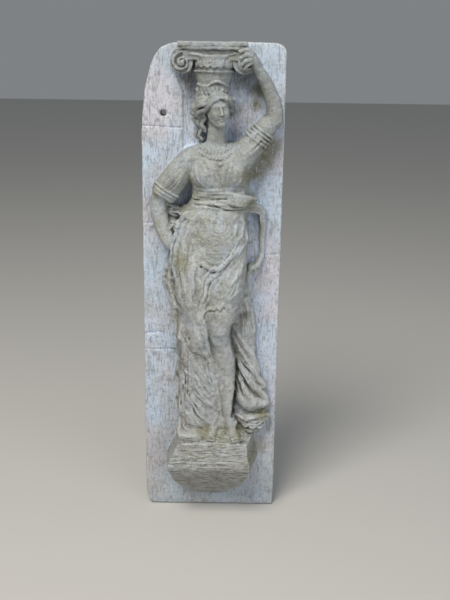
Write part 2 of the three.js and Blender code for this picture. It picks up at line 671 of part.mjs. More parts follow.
// Folds that lie on what is beneath them, drawn from the front: rows are x, h and the radius.
const folds = [
  // the gathered sash
  ...between(
    [[-17, 318.2, 1.4], [-6, 321.6, 2], [8.3, 323.6, 2.3], [30, 320, 1.8]],
    [[-16.7, 310.8, 1.4], [-6, 310.6, 1.8], [8.3, 310.4, 2.4], [30, 311.4, 1.8]],
    4,
  ),
  // swags over the belly and from the hip down between the thighs
  [[-8, 269.4, 1], [-4.4, 264, 1.5], [4.2, 261.4, 1.7], [13, 265, 1.5], [20, 271.7, 1]],
  [[-10, 262, 1.6], [-5.5, 258.6, 2.4], [0, 255.4, 2.7], [6.7, 256.6, 2.8], [19, 268.4, 1.8]],
  [
    [26.6, 305, 1.4],
    [30, 292, 2.2],
    [30.4, 282, 2.8],
    [26.6, 274.6, 3.2],
    [19, 266.4, 3.4],
    [11.6, 257.6, 3.2],
    [4, 249.6, 2.8],
    [-1.4, 240, 2],
  ],
  ...between(
    [[-0.8, 249, 1.3], [-4.4, 241, 2], [-7.4, 229, 2.1], [-10, 216, 1.6]],
    [[29, 262, 1.2], [22, 249, 1.8], [14.5, 237, 1.8], [10, 228, 1.2]],
    4,
  ),
  // long folds round the covered thigh and down the left side
  ...between(
    [[-17.2, 272, 1.4], [-16.3, 257, 2.5], [-17, 242, 2.5], [-18.6, 230, 2], [-19, 214, 1.3]],
    [[-21, 308, 1.8], [-31.6, 288, 3], [-34, 275, 3], [-35, 262, 2.6], [-35.6, 250, 2]],
    4,
  ),
  ...between(
    [[-37.4, 214, 1.8], [-32.6, 198, 2.3], [-30.6, 170, 2.3], [-30.6, 134, 2.3], [-31, 89, 1.8]],
    [[-22.6, 196, 1.3], [-21.6, 178, 1.9], [-21, 156, 2], [-21.4, 134, 2], [-21, 94, 1.5]],
    3,
  ),
  // the hem over the bare knee and the edge of the skirt below it
  [
    [-9.4, 209, 1.4],
    [-6.4, 214.4, 1.9],
    [-1.5, 218.6, 2],
    [4.7, 221.2, 2.1],
    [11.4, 223, 2],
    [15.1, 219.6, 2],
    [25.8, 214.4, 1.9],
    [28, 207, 1.5],
  ],
  [
    [-8.8, 217, 1.4],
    [-9.2, 208, 2.2],
    [-5.6, 193, 2.6],
    [-3.6, 181, 2.7],
    [0, 168.3, 2.7],
    [3.6, 146, 2.5],
    [8.2, 120, 2.2],
    [9.6, 105, 1.8],
  ],
  // the skirt drawn across the covered shin
  ...between(
    [[-17.8, 179.8, 1.2], [-11.2, 176, 2], [-4, 168, 2.1], [1, 160, 1.4]],
    [[-16.3, 113, 1.3], [-12.4, 102, 2.3], [-7, 94.4, 2.1], [-1, 91, 1.5]],
    6,
  ),
  [[-17.9, 178.4, 1.4], [-17.4, 161.5, 2.2], [-16.2, 135, 2.2], [-16.6, 108.4, 2.1], [-16, 93.4, 1.7]],
  // the cloth at the right of the bare leg
  [[30, 238, 1.8], [30.6, 222, 2.2], [31.6, 206, 2.4], [32, 190, 2.2], [33, 176, 1.6]],
  // the bodice and the sleeves
  ...between(
    [[-17, 350, 1.2], [-16, 339, 1.8], [-11, 330, 1.6], [-6, 326.6, 1.2]],
    [[-11, 349, 1], [-8, 338, 1.3], [-3, 331, 1.3], [2, 328, 1]],
    2,
  ),
  ...between(
    [[27, 350, 1.2], [28, 339, 1.8], [24, 331, 1.8], [18, 326.6, 1.2]],
    [[14, 350, 1], [11, 340, 1.3], [9, 333, 1.3], [9, 329, 1]],
    2,
  ),
  [[-19, 353, 1], [-9, 350.6, 1.4], [3, 350.4, 1.4], [15, 353.4, 1.4], [24, 357.5, 1]],
  ...between(
    [[-22, 354, 1.2], [-24, 346, 1.8], [-30, 336, 1.8], [-38, 327, 1.4]],
    [[-26, 351, 1], [-31, 344, 1.6], [-38, 337, 1.6], [-45, 330, 1.2]],
    2,
  ),
  [[24, 352, 1.2], [30, 357, 1.8], [37, 364, 1.6], [42, 371, 1.2]],
];

function laidFolds(bodies) {
  const bothSides = new THREE.MeshBasicMaterial({ side: THREE.DoubleSide });
  const meshes = bodies.map((geometry) => new THREE.Mesh(geometry, bothSides));
  const ray = new THREE.Raycaster();
  const towards = new THREE.Vector3(0, 1, 0);
  const before = 200;
  const mostDip = 1;
  return folds.map((rows) => {
    const placed = rows.map(([x, h, size], i) => {
      const r = size * foldGirth * (0.5 + 0.5 * Math.sin(Math.PI * i / (rows.length - 1)));
      ray.set(at(x, before, h), towards);
      const hit = ray.intersectObjects(meshes)[0];
      return [x, (hit ? -hit.point.y : 0) - foldSink * r, h, r];
    });
    for (let i = 1; i < placed.length - 1; i++) {
      placed[i][1] = Math.max(placed[i][1], (placed[i - 1][1] + placed[i + 1][1]) / 2 - mostDip);
    }
    return limb(placed, { around: 6, per: 1, depth: 2.5 });
  });
}

// The beaded collar with its drop.
function collarParts() {
  const { x, h, reach, drop, beads, bead } = collar;
  const row = Array.from({ length: beads }, (_, i) => {
    const across = i / (beads - 1) * 2 - 1;
    const dip = 1 - across * across;
    return dot([x + reach * across, 15 + 12.5 * dip, h - drop * dip], bead);
  });
  return [...row, dot([x + 2, 29.5, h - drop - 2.8], 1.4 * bead)];
}

// The deep gap beside the bare shin.
function gapBesideLeg() {
  return limb([
    [19.6, 24, 203, 0.8],
    [18.6, 22, 192, 1.6],
    [20, 20, 180, 1.6],
    [23.6, 18, 166, 1.5],
    [25.2, 18, 152, 1.6],
    [24.4, 18, 136, 1.8],
    [22, 18, 106, 2],
  ], { around: 6, per: 2, flat: 6 });
}

const join = (solids) => solids.reduce((whole, next) => whole.add(next));

const limbs = [...raisedArm(), ...bentArm(), ...hipParts(), ...legParts()];
const bodies = [...bodyParts(), ...limbs, ...clothBodies()];
const figure = [
  ...bodies,
  bracketBody(),
  ...capitalParts(),
  ...headParts(),
  ...hairBehind(),
  ...laidFolds(bodies),
  ...collarParts(),
].map(solid);
const behind = solid(new THREE.BoxGeometry(400, 200, 900).translate(0, 100 + slabThick / 2, 0));
const over = solid(new THREE.BoxGeometry(400, 400, 100).translate(0, 0, slabHeight + 50));
const raised = join(figure).subtract(behind).subtract(solid(gapBesideLeg()));
const casting = slab().add(raised).subtract(over);

// The joined form has more faces than it needs: the edge whose loss changes the form least is drawn
// together, again and again, until few enough are left. Each corner keeps the sum of its planes.
function lighten(mesh, wanted) {
  const place = Float64Array.from(mesh.vertProperties);
  const faceCount = mesh.triVerts.length / 3;
  const faces = Array.from({ length: faceCount }, (_, i) => [...mesh.triVerts.slice(3 * i, 3 * i + 3)]);
  const count = place.length / 3;
  const around = Array.from({ length: count }, () => new Set());
  const planes = Array.from({ length: count }, () => new Float64Array(10));
  const versions = new Uint32Array(count);
  const corner = (v) => new THREE.Vector3().fromArray(place, 3 * v);
  const cross = (a, b, c) => new THREE.Vector3().crossVectors(b.clone().sub(a), c.clone().sub(a));

  faces.forEach((face, index) => {
    const [a, b, c] = face.map(corner);
    const normal = cross(a, b, c);
    const area = normal.length() / 2;
    normal.normalize();
    const plane = [normal.x, normal.y, normal.z, -normal.dot(a)];
    for (const v of face) {
      around[v].add(index);
      let k = 0;
      for (let i = 0; i < 4; i++) {
        for (let j = i; j < 4; j++) planes[v][k++] += plane[i] * plane[j] * area;
      }
    }
  });

  const error = (q, p) => (
    q[0] * p.x * p.x + q[4] * p.y * p.y + q[7] * p.z * p.z + q[9]
    + 2 * (q[1] * p.x * p.y + q[2] * p.x * p.z + q[5] * p.y * p.z + q[3] * p.x + q[6] * p.y + q[8] * p.z)
  );
  const slack = 1e-4;
  const shortFirst = 1e-5;
  function best(a, b) {
    const q = planes[a].map((value, i) => value + planes[b][i]);
    const middle = corner(a).add(corner(b)).multiplyScalar(0.5);
    const m = new THREE.Matrix3();
    m.set(q[0] + slack, q[1], q[2], q[1], q[4] + slack, q[5], q[2], q[5], q[7] + slack);
    const right = new THREE.Vector3(-q[3], -q[6], -q[8]).addScaledVector(middle, slack);
    const options = [middle, corner(a), corner(b)];
    if (Math.abs(m.determinant()) > 1e-9) {
      const solved = right.applyMatrix3(m.invert());
      if (solved.distanceTo(middle) < 2 * corner(a).distanceTo(corner(b))) options.push(solved);
    }
    const scored = options.map((point) => ({ point, cost: error(q, point) }));
    const chosen = scored.reduce((low, next) => (next.cost < low.cost ? next : low));
    const cost = chosen.cost + shortFirst * corner(a).distanceToSquared(corner(b));
    return { a, b, point: chosen.point, cost, at: [versions[a], versions[b]] };
  }

  const heap = [];
  const swap = (i, j) => ([heap[i], heap[j]] = [heap[j], heap[i]]);
  function push(item) {
    let i = heap.push(item) - 1;
    while (i > 0 && heap[(i - 1) >> 1].cost > heap[i].cost) {
      swap(i, (i - 1) >> 1);
      i = (i - 1) >> 1;
    }
  }
  function pop() {
    const top = heap[0];
    const last = heap.pop();
    if (heap.length === 0) return top;
    heap[0] = last;
    for (let i = 0; ;) {
      let low = i;
      for (const child of [2 * i + 1, 2 * i + 2]) {
        if (child < heap.length && heap[child].cost < heap[low].cost) low = child;
      }
      if (low === i) return top;
      swap(i, low);
      i = low;
    }
  }

  const thinnest = 0.03;
  const smallest = 0.02;
  const leastTurned = 0.25;
  function ring(v) {
    const others = [...around[v]].flatMap((index) => faces[index]);
    return new Set(others.filter((other) => other !== v));
  }

  function keepsShape(v, gone, point) {
    for (const index of around[v]) {
      const face = faces[index];
      if (face.includes(gone)) continue;
      const before = face.map(corner);
      const after = before.map((p, i) => (face[i] === v ? point : p));
      const old = cross(...before);
      const made = cross(...after);
      const product = made.length() * old.length();
      const longest = Math.max(...after.map((p, i) => p.distanceTo(after[(i + 1) % 3])));
      if (made.length() < thinnest * longest) return false;
      if (old.length() > smallest && made.dot(old) < leastTurned * product) return false;
    }
    return true;
  }

  for (let v = 0; v < count; v++) {
    for (const other of ring(v)) if (other > v) push(best(v, other));
  }
  let left = faces.length;
  while (left > wanted && heap.length > 0) {
    const { a, b, point, at: seen } = pop();
    if (!around[a] || !around[b] || versions[a] !== seen[0] || versions[b] !== seen[1]) continue;
    const ringB = ring(b);
    const shared = [...ring(a)].filter((v) => ringB.has(v));
    if (shared.length !== 2 || !keepsShape(a, b, point) || !keepsShape(b, a, point)) continue;
    for (const index of around[b]) {
      if (faces[index].includes(a)) {
        for (const v of faces[index]) around[v].delete(index);
        left -= 1;
      } else {
        faces[index][faces[index].indexOf(b)] = a;
        around[a].add(index);
      }
    }
    planes[b].forEach((value, i) => { planes[a][i] += value; });
    place.set(point.toArray(), 3 * a);
    around[b] = null;
    versions[a] += 1;
    for (const other of ring(a)) push(best(a, other));
  }
  const kept = [...new Set(around.flatMap((set) => (set ? [...set] : [])))];
  return { place, faces: kept.map((index) => faces[index]) };
}

// Only the outer skin of a casting: the faces that hang together with its lowest corner.
function outerSkin(mesh) {
  const { vertProperties, triVerts } = mesh;
  const root = Array.from({ length: vertProperties.length / 3 }, (_, i) => i);
  const rootOf = (v) => {
    while (root[v] !== v) v = root[v] = root[root[v]];
    return v;
  };
  for (let i = 0; i < triVerts.length; i += 3) {
    root[rootOf(triVerts[i])] = rootOf(triVerts[i + 1]);
    root[rootOf(triVerts[i + 2])] = rootOf(triVerts[i + 1]);
  }
  let lowest = 0;
  for (let v = 0; v < root.length; v++) {
    if (vertProperties[3 * v + 2] < vertProperties[3 * lowest + 2]) lowest = v;
  }
  const kept = [];
  for (let i = 0; i < triVerts.length; i += 3) {
    if (rootOf(triVerts[i]) === rootOf(lowest)) kept.push(triVerts[i], triVerts[i + 1], triVerts[i + 2]);
  }
  return { vertProperties, triVerts: kept };
}

// The faces as a geometry, with the back and the foot exactly flat.
function geometryOf({ place, faces }) {
  const near = 0.02;
  for (let i = 0; i < place.length; i += 3) {
    if (Math.abs(place[i + 1] - slabThick) < near) place[i + 1] = slabThick;
    if (Math.abs(place[i + 2]) < near) place[i + 2] = 0;
  }
  const geometry = new THREE.BufferGeometry();
  geometry.setAttribute('position', new THREE.Float32BufferAttribute(place, 3));
  geometry.setIndex(faces.flat());
  return geometry.toNonIndexed();
}

const cast = new THREE.Mesh(
  geometryOf(lighten(outerSkin(casting.getMesh()), facetCount)),
  new THREE.MeshStandardMaterial(plaster),
);
cast.name = 'caryatid_relief';
cast.position.set(0, -slabThick, -slabHeight / 2);

const panel = new THREE.Group();
panel.add(cast);

export default panel;
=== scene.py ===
# Cast plaster relief: a draped caryatid on a bracket, carrying an Ionic capital
import math

import bpy
import numpy as np
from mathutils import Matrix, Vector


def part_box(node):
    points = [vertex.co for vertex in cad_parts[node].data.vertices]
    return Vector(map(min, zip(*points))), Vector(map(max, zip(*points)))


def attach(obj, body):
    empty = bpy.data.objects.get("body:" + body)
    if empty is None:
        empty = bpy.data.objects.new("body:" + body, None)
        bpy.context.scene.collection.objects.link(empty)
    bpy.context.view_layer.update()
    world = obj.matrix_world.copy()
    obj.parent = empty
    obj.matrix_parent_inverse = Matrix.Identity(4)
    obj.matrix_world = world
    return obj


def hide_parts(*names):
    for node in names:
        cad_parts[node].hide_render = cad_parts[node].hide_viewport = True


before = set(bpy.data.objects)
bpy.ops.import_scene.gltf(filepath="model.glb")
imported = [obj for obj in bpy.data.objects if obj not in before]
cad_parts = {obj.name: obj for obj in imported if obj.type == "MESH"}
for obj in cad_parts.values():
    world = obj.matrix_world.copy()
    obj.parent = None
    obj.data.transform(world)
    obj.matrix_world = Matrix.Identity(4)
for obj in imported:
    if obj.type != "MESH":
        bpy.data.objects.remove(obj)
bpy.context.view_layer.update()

import openvdb
from mathutils import Matrix, Vector

mm = 0.001

# The relief is modelled in millimetres: x to the right, d out of the slab's face, h above its foot
boxLow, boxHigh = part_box("caryatid_relief")
panel = {
    "width": (boxHigh[0] - boxLow[0]) / mm,
    "height": (boxHigh[2] - boxLow[2]) / mm,
    "depth": (boxHigh[1] - boxLow[1]) / mm,
    "thick": 22.0,
    "grain": 0.62,   # size of the modelling grid
    "faces": 190000,
    "recess": 2.0,
}

# how forms are pressed into the clay, in mm
pressing = {
    "empty": 60.0,       # distance where there is no form yet
    "root": -5,          # depth behind the slab's face that rooted forms reach back to
    "drawnIn": 0.13,     # how much a rooted limb narrows on its way back
    "drawnOver": 14,     # the way on which it does
}
rooted = {"rooted": True}
cut = {"cut": True}


def smoothMin(a, b, blend):
    if blend <= 0:
        return np.minimum(a, b)
    near = np.maximum(blend - np.abs(a - b), 0) / blend
    return np.minimum(a, b) - near * near * blend * 0.25


def smoothMax(a, b, blend):
    return -smoothMin(-a, -b, blend)


def smoothRows(rows, per=5):
    # Catmull-Rom through every column of the rows
    p = np.asarray(rows, float)
    if len(p) < 3:
        t = np.linspace(0, 1, per + 1)[:, None]
        return p[0] * (1 - t) + p[-1] * t
    q = np.vstack([2 * p[0] - p[1], p, 2 * p[-1] - p[-2]])
    t = (np.arange(per) / per)[:, None]
    out = []
    for a, b, c, d in zip(q, q[1:], q[2:], q[3:]):
        bent = (2 * a - 5 * b + 4 * c - d) * t**2 + (3 * b - a - 3 * c + d) * t**3
        out.append(0.5 * (2 * b + (c - a) * t + bent))
    return np.vstack(out + [p[-1:]])


def turned(yaw=0, roll=0):
    # yaw about h, roll about d, in degrees
    y, r = np.radians([yaw, roll])
    aboutH = np.array([[np.cos(y), -np.sin(y), 0], [np.sin(y), np.cos(y), 0], [0, 0, 1]])
    aboutD = np.array([[np.cos(r), 0, np.sin(r)], [0, 1, 0], [-np.sin(r), 0, np.cos(r)]])
    return aboutH @ aboutD


class Clay:
    # A block of signed distances that forms are pressed into, smooth where they meet

    def __init__(self, low, high, step):
        self.low = np.array(low, float)
        self.step = step
        self.shape = np.ceil((np.array(high) - self.low) / step).astype(int) + 1
        self.far = np.full(self.shape, pressing["empty"], np.float32)
        self.axes = [(self.low[i] + step * np.arange(self.shape[i])).astype(np.float32) for i in range(3)]

    def window(self, low, high):
        a = np.clip(np.floor((np.array(low) - self.low) / self.step).astype(int), 0, self.shape)
        b = np.clip(np.ceil((np.array(high) - self.low) / self.step).astype(int) + 1, 0, self.shape)
        part = tuple(slice(i, j) for i, j in zip(a, b))
        x, d, h = (self.axes[i][part[i]] for i in range(3))
        return part, (x[:, None, None], d[None, :, None], h[None, None, :])

    def press(self, part, form, blend, cut):
        if cut:
            self.far[part] = smoothMax(self.far[part], -form, blend)
        else:
            self.far[part] = smoothMin(self.far[part], form, blend)

    def form(self, rule, low, high, blend=1.0, cut=False):
        reach = blend + 2.5 * self.step
        part, grid = self.window(np.array(low) - reach, np.array(high) + reach)
        self.press(part, np.asarray(rule(*grid), np.float32), blend, cut)

    def limb(self, rows, blend=2.0, flat=1.0, per=5, rooted=False, cut=False):
        # rows are x, d, h and radius; a rooted limb runs back into the slab, drawn in a little
        line = smoothRows(rows, per)
        middle, radius = line[:, :3].copy(), np.maximum(line[:, 3], 0.15)
        reach = blend + 2.5 * self.step
        spread = radius[:, None] * [1, flat, 1]
        low = middle.min(0) - spread.max(0) - reach
        high = middle.max(0) + spread.max(0) + reach
        if rooted:
            low[1] = pressing["root"]
        part, _ = self.window(low, high)
        start = np.array([s.start for s in part])
        own = np.full([s.stop - s.start for s in part], pressing["empty"], np.float32)
        for a, b, ra, rb in zip(middle, middle[1:], radius, radius[1:]):
            size = (max(ra, rb) * np.array([1, flat, 1])) + reach
            segLow, segHigh = np.minimum(a, b) - size, np.maximum(a, b) + size
            if rooted:
                segLow[1] = pressing["root"]
            seg, grid = self.window(segLow, segHigh)
            x, d, h = grid[0] - a[0], (grid[1] - a[1]) / flat, grid[2] - a[2]
            along = (b - a) / [1, flat, 1]
            size2 = max(float(along @ along), 1e-9)
            t = np.clip((x * along[0] + d * along[1] + h * along[2]) / size2, 0, 1)
            off = d - t * along[1]
            girth = ra + t * (rb - ra)
            if rooted:
                frontSize = max(float(along[0] ** 2 + along[2] ** 2), 1e-9)
                t0 = np.clip((x * along[0] + h * along[2]) / frontSize, 0, 1)
                behind = grid[1] < a[1] + t0 * (b[1] - a[1])
                t = np.where(behind, t0, t)
                back = np.clip((a[1] - grid[1]) / pressing["drawnOver"], 0, 1)
                girth = (ra + t * (rb - ra)) * np.where(behind, 1 - pressing["drawnIn"] * back, 1)
                off = np.where(behind, 0, d - t * along[1])
            form = np.sqrt((x - t * along[0]) ** 2 + off**2 + (h - t * along[2]) ** 2) - girth
            local = tuple(slice(s.start - o, s.stop - o) for s, o in zip(seg, start))
            own[local] = np.minimum(own[local], form)
        self.press(part, own * (flat**0.5 if flat < 1 else 1.0), blend, cut)

    def surfaceAt(self, x, h):
        # depth of the front surface at a point of the front plane
        i = int(np.clip(round((x - self.low[0]) / self.step), 0, self.shape[0] - 1))
        k = int(np.clip(round((h - self.low[2]) / self.step), 0, self.shape[2] - 1))
        column = self.far[i, :, k]
        inside = np.nonzero(column < 0)[0]
        if not len(inside):
            return 0.0
        j = min(inside[-1], len(column) - 2)
        return float(self.axes[1][j] + self.step * column[j] / min(column[j] - column[j + 1], -1e-6))

    def laid(self, rows, sink=0.36, blend=1.5, flat=0.85):
        # a fold laid along the surface: rows are x, h and radius
        line = smoothRows(rows, 4)
        depth = np.array([self.surfaceAt(x, h) for x, h, _ in line])
        padded = np.pad(depth, 2, mode="edge")
        depth = np.convolve(padded, [0.1, 0.2, 0.4, 0.2, 0.1], "valid")
        ends = np.clip(np.minimum(np.arange(len(line)), np.arange(len(line))[::-1]) / 3.5, 0.3, 1)
        size = line[:, 2] * ends
        depth = depth - sink * line[:, 2] - (1 - ends) * 0.5 * line[:, 2]
        self.limb(np.stack([line[:, 0], depth, line[:, 1], size], 1), blend, flat=flat, per=1)

    def egg(self, centre, radii, blend=2.0, yaw=0, roll=0, cut=False):
        axes = turned(yaw, roll)
        c, r = np.array(centre, float), np.array(radii, float)
        spread = np.sqrt((axes**2) @ (r**2))

        def rule(x, d, h):
            u, v, w = (axes[0, i] * (x - c[0]) + axes[1, i] * (d - c[1]) + axes[2, i] * (h - c[2])
                for i in range(3))
            k0 = np.sqrt((u / r[0]) ** 2 + (v / r[1]) ** 2 + (w / r[2]) ** 2)
            k1 = np.sqrt((u / r[0] ** 2) ** 2 + (v / r[1] ** 2) ** 2 + (w / r[2] ** 2) ** 2)
            return k0 * (k0 - 1) / np.maximum(k1, 1e-6)

        self.form(rule, c - spread, c + spread, blend, cut)

    def block(self, centre, size, rounding=0.5, blend=0.6, roll=0, cut=False):
        axes = turned(0, roll)
        c, half = np.array(centre, float), np.array(size, float) / 2
        inner = half - rounding

        def rule(x, d, h):
            u, v, w = (np.abs(axes[0, i] * (x - c[0]) + axes[1, i] * (d - c[1]) + axes[2, i] * (h - c[2]))
                - inner[i] for i in range(3))
            outside = np.sqrt(np.maximum(u, 0) ** 2 + np.maximum(v, 0) ** 2 + np.maximum(w, 0) ** 2)
            return outside + np.minimum(np.maximum(np.maximum(u, v), w), 0) - rounding

        spread = np.abs(axes) @ half
        self.form(rule, c - spread, c + spread, blend, cut)

    def trunk(self, rows, blend=2.0, power=2.0, ends=2.0):
        # rows are h, middle x, middle d, half width and half depth
        rows = np.array(sorted(rows), float)
        line = smoothRows(rows, 8)
        levels = np.arange(rows[0, 0], rows[-1, 0] + 1e-6, 0.5)
        columns = [np.interp(levels, line[:, 0], line[:, i]) for i in range(1, 5)]

        def rule(x, d, h):
            cx, cd, rx, rd = (np.interp(h, levels, column).astype(np.float32) for column in columns)
            u, v = (x - cx) / rx, (d - cd) / rd
            v = np.where(v < 0, 0, v)   # the back half goes straight into the slab
            rho = (np.abs(u) ** power + np.abs(v) ** power) ** (1 / power)
            slope = np.sqrt((u / rx) ** 2 + (v / rd) ** 2) / np.maximum(np.sqrt(u * u + v * v), 1e-4)
            side = (rho - 1) / np.maximum(slope, 1e-3) * 0.92
            return smoothMax(side, np.maximum(rows[0, 0] - h, h - rows[-1, 0]) + 0 * side, ends)

        low = [(rows[:, 1] - rows[:, 3]).min(), pressing["root"], rows[0, 0]]
        high = [(rows[:, 1] + rows[:, 3]).max(), (rows[:, 2] + rows[:, 4]).max(), rows[-1, 0]]
        self.form(rule, low, high, blend)


def build(shape, rows):
    # each row is what is made, what it is given and, where it has them, its settings
    for kind, *given in rows:
        settings = given.pop() if isinstance(given[-1], dict) else {}
        getattr(shape, kind)(*given, **settings)


def outlineDistance(points, x, h):
    # signed distance in the front plane to a closed outline
    points = np.asarray(points, float)
    best = np.full((len(x), len(h)), 1e9, np.float32)
    inside = np.zeros(best.shape, bool)
    gx, gh = x[:, None], h[None, :]
    for a, b in zip(points, np.roll(points, -1, 0)):
        ab = b - a
        t = np.clip(((gx - a[0]) * ab[0] + (gh - a[1]) * ab[1]) / max(float(ab @ ab), 1e-9), 0, 1)
        best = np.minimum(best, np.hypot(gx - a[0] - t * ab[0], gh - a[1] - t * ab[1]))
        if a[1] != b[1]:
            inside ^= ((a[1] > gh) != (b[1] > gh)) & (gx < (b[0] - a[0])
                * (gh - a[1]) / (b[1] - a[1]) + a[0])
    return np.where(inside, -best, best)


def bend(start, control, end, count=6):
    # points of a quadratic curve, without its start
    t = np.linspace(0, 1, count + 1)[1:, None]
    start, control, end = (np.array(p, float) for p in (start, control, end))
    return (1 - t) ** 2 * start + 2 * t * (1 - t) * control + t**2 * end


def softNoise(shape, cells, seed):
    # smooth random lumps on a plane, from -1 to 1
    rng = np.random.default_rng(seed)
    coarse = rng.uniform(-1, 1, (cells[0] + 3, cells[1] + 3))
    u = np.linspace(0, cells[0], shape[0]) + 1
    v = np.linspace(0, cells[1], shape[1]) + 1

    def along(values, t, axis):
        i = np.minimum(t.astype(int), values.shape[axis] - 3)
        f = t - i
        take = [np.take(values, i + k, axis) for k in (-1, 0, 1, 2)]
        f = f[:, None] if axis == 0 else f[None, :]
        w = [(1 - f) ** 3 / 6, (3 * f**3 - 6 * f**2 + 4) / 6,
            (-3 * f**3 + 3 * f**2 + 3 * f + 1) / 6, f**3 / 6]
        return sum(a * b for a, b in zip(take, w))

    out = along(along(coarse, u, 0), v, 1)
    return (out / np.abs(out).max()).astype(np.float32)


def lumpy(shape, rows):
    # lumps of several sizes: cells across and up, seed and height in mm
    return sum(softNoise(shape, cells, seed) * size for cells, seed, size in rows)


slabForm = {
    # the worn outline, clockwise from the lower left, with rounded places as curves
    "lowerLeft": (5.5, 21),
    "shoulder": [(0, 372), (1.3, 394), (3.4, 412), (8.2, 430.5), (11.4, 438.4), (17.8, 446.6),
        (26, 450.2), (36, 451.4)],
    "rightCorner": (10.5, 10),
    "nailHole": (-44.7, 389.9),
    "bore": 6.0,
    "dish": 4.6,
    # the outline of the lowered field
    "field": {
        "below": [(-27, 88), (-27, 405)],
        "curve": ((-27, 405), (-28, 418), (-36, 425)),
        "above": [(-36, 434), (31, 434), (31, 88)],
    },
    "lumps": [((9, 30), 5, 0.2), ((70, 36), 6, 0.16), ((80, 260), 7, 0.12)],
    "scoreWidth": 0.55,
    # scores across its face: from x to x, height, how far it falls on the way, depth
    "scores": [(-64.5, -28, 378.4, -0.8, 1.1), (-64.5, -46, 183, -0.4, 1), (-64.5, -34, 166.5, 0.4, 0.9),
        (44, 64.5, 262, -0.6, 0.7), (-64.5, -50, 290, 0.3, 0.7)],
}


def slabOutline():
    half, top = panel["width"] / 2, panel["height"]
    inX, downH = slabForm["rightCorner"]
    footX, footH = slabForm["lowerLeft"]
    points = [(-half + footX, 0), (half - 0.8, 0), (half, 40), (half, top - downH)]
    points += list(bend((half, top - downH), (half - 0.6, top - 1.6), (half - inX, top - 0.5)))
    points += [(20, top), (0, top)]
    points += [(-half + x, h) for x, h in reversed(slabForm["shoulder"])]
    points += [(-half, 200), (-half, footH)]
    points += list(bend((-half, footH), (-half + 0.8, 4), (-half + footX, 0), 5))[:-1]
    return points


def makeSlab(clay):
    x, d, h = clay.axes
    edge = outlineDistance(slabOutline(), x, h)
    worn = softNoise(edge.shape, (14, 60), 3) * 0.35 + 0.35
    edge = edge + worn * np.clip(1 - np.abs(edge) / 8, 0, 1)
    field = slabForm["field"]
    recess = outlineDistance(field["below"] + list(bend(*field["curve"])) + field["above"], x, h)
    lumps = lumpy(edge.shape, slabForm["lumps"])
    for left, right, level, drop, deep in slabForm["scores"]:
        line = level + drop * (x - left) / (right - left) + 0.5 * softNoise((len(x), 2), (24, 1),
            int(level))[:, 0]
        lumps -= deep * np.exp(-((h[None, :]
            - line[:, None]) / slabForm["scoreWidth"]) ** 2) * ((x > left) & (x < right))[:, None]
    sunk = panel["recess"] * np.clip(0.5 - recess / 1.6, 0, 1)
    face = d[None, :, None] + sunk[:, None, :] - lumps[:, None, :] + 0.12
    body = smoothMax(edge[:, None, :], face, 2.4)
    clay.far[...] = smoothMax(body, -panel["thick"] - d[None, :, None] + 0 * body, 0.5)


bracketForm = {
    "leanLeft": 2.0,     # how far the sides spread towards the slab
    "leanRight": 8.5,
    # h, left edge, right edge, front
    "rows": [
        (13, -11, 13, 0.5), (20, -19, 21, 9), (30, -28.5, 29.5, 18), (39, -34.4, 34.2, 25),
        (46, -36.4, 36.6, 30.4), (51, -37.6, 37.8, 33.6), (55.5, -40, 38.4, 36.4), (58, -41, 38.6, 37.4),
        (61, -40.4, 38.2, 37.6), (62.2, -39.4, 37.6, 36.8), (63, -39.2, 37.4, 36.6),
        (63.9, -39, 37.4, 37.2), (65, -38.2, 37.2, 36.9), (65.8, -37.6, 36.8, 36),
        (66.6, -37.4, 36.8, 36.4), (68, -36.8, 36.6, 36), (72, -35, 36.2, 35), (77, -32.6, 35.9, 34),
        (80.5, -31, 35.6, 33.5), (82.8, -30, 35.4, 33),
    ],
    "ground": [
        # the ground under the feet, with a low step of rock on the left
        ("block", (-19, 15, 85.4), (22, 31, 9.4), 1.6, 1.0, {"roll": 2}),
        ("egg", (14, 14, 82), (22, 17, 6.4), 3),
        ("egg", (0, 20, 81.5), (15, 12, 6), 3),
    ],
    "heaps": [
        (-24, 20, 89, 8, 9, 4), (-14, 22, 89, 9, 8, 4), (-5, 18, 88, 9, 9, 5), (9, 16, 88, 9, 10, 5),
        (27, 12, 84, 9, 10, 5), (-30, 12, 90, 4, 8, 4),
    ],
}


def makeBracket(clay):
    rows = np.array(bracketForm["rows"])

    def rule(x, d, h):
        left, right, front = (np.interp(h, rows[:, 0], rows[:, i]) for i in (1, 2, 3))
        back = np.clip((front - d) / 36, 0, 1)
        side = smoothMax(left - bracketForm["leanLeft"] * back - x,
            x - right - bracketForm["leanRight"] * back, 1.0)
        body = smoothMax(side, d - front, 1.4)
        return smoothMax(body, np.maximum(rows[0, 0] - h, h - rows[-1, 0]) + 0 * body, 1.2)

    clay.form(rule, (-46, -4, 12), (52, 39, 84), 1.4)
    build(clay, bracketForm["ground"])
    # the ground is heaped a little round the feet and under the skirt
    for x, d, h, wide, deep, tall in bracketForm["heaps"]:
        clay.egg((x, d, h), (wide, deep, tall), 3)


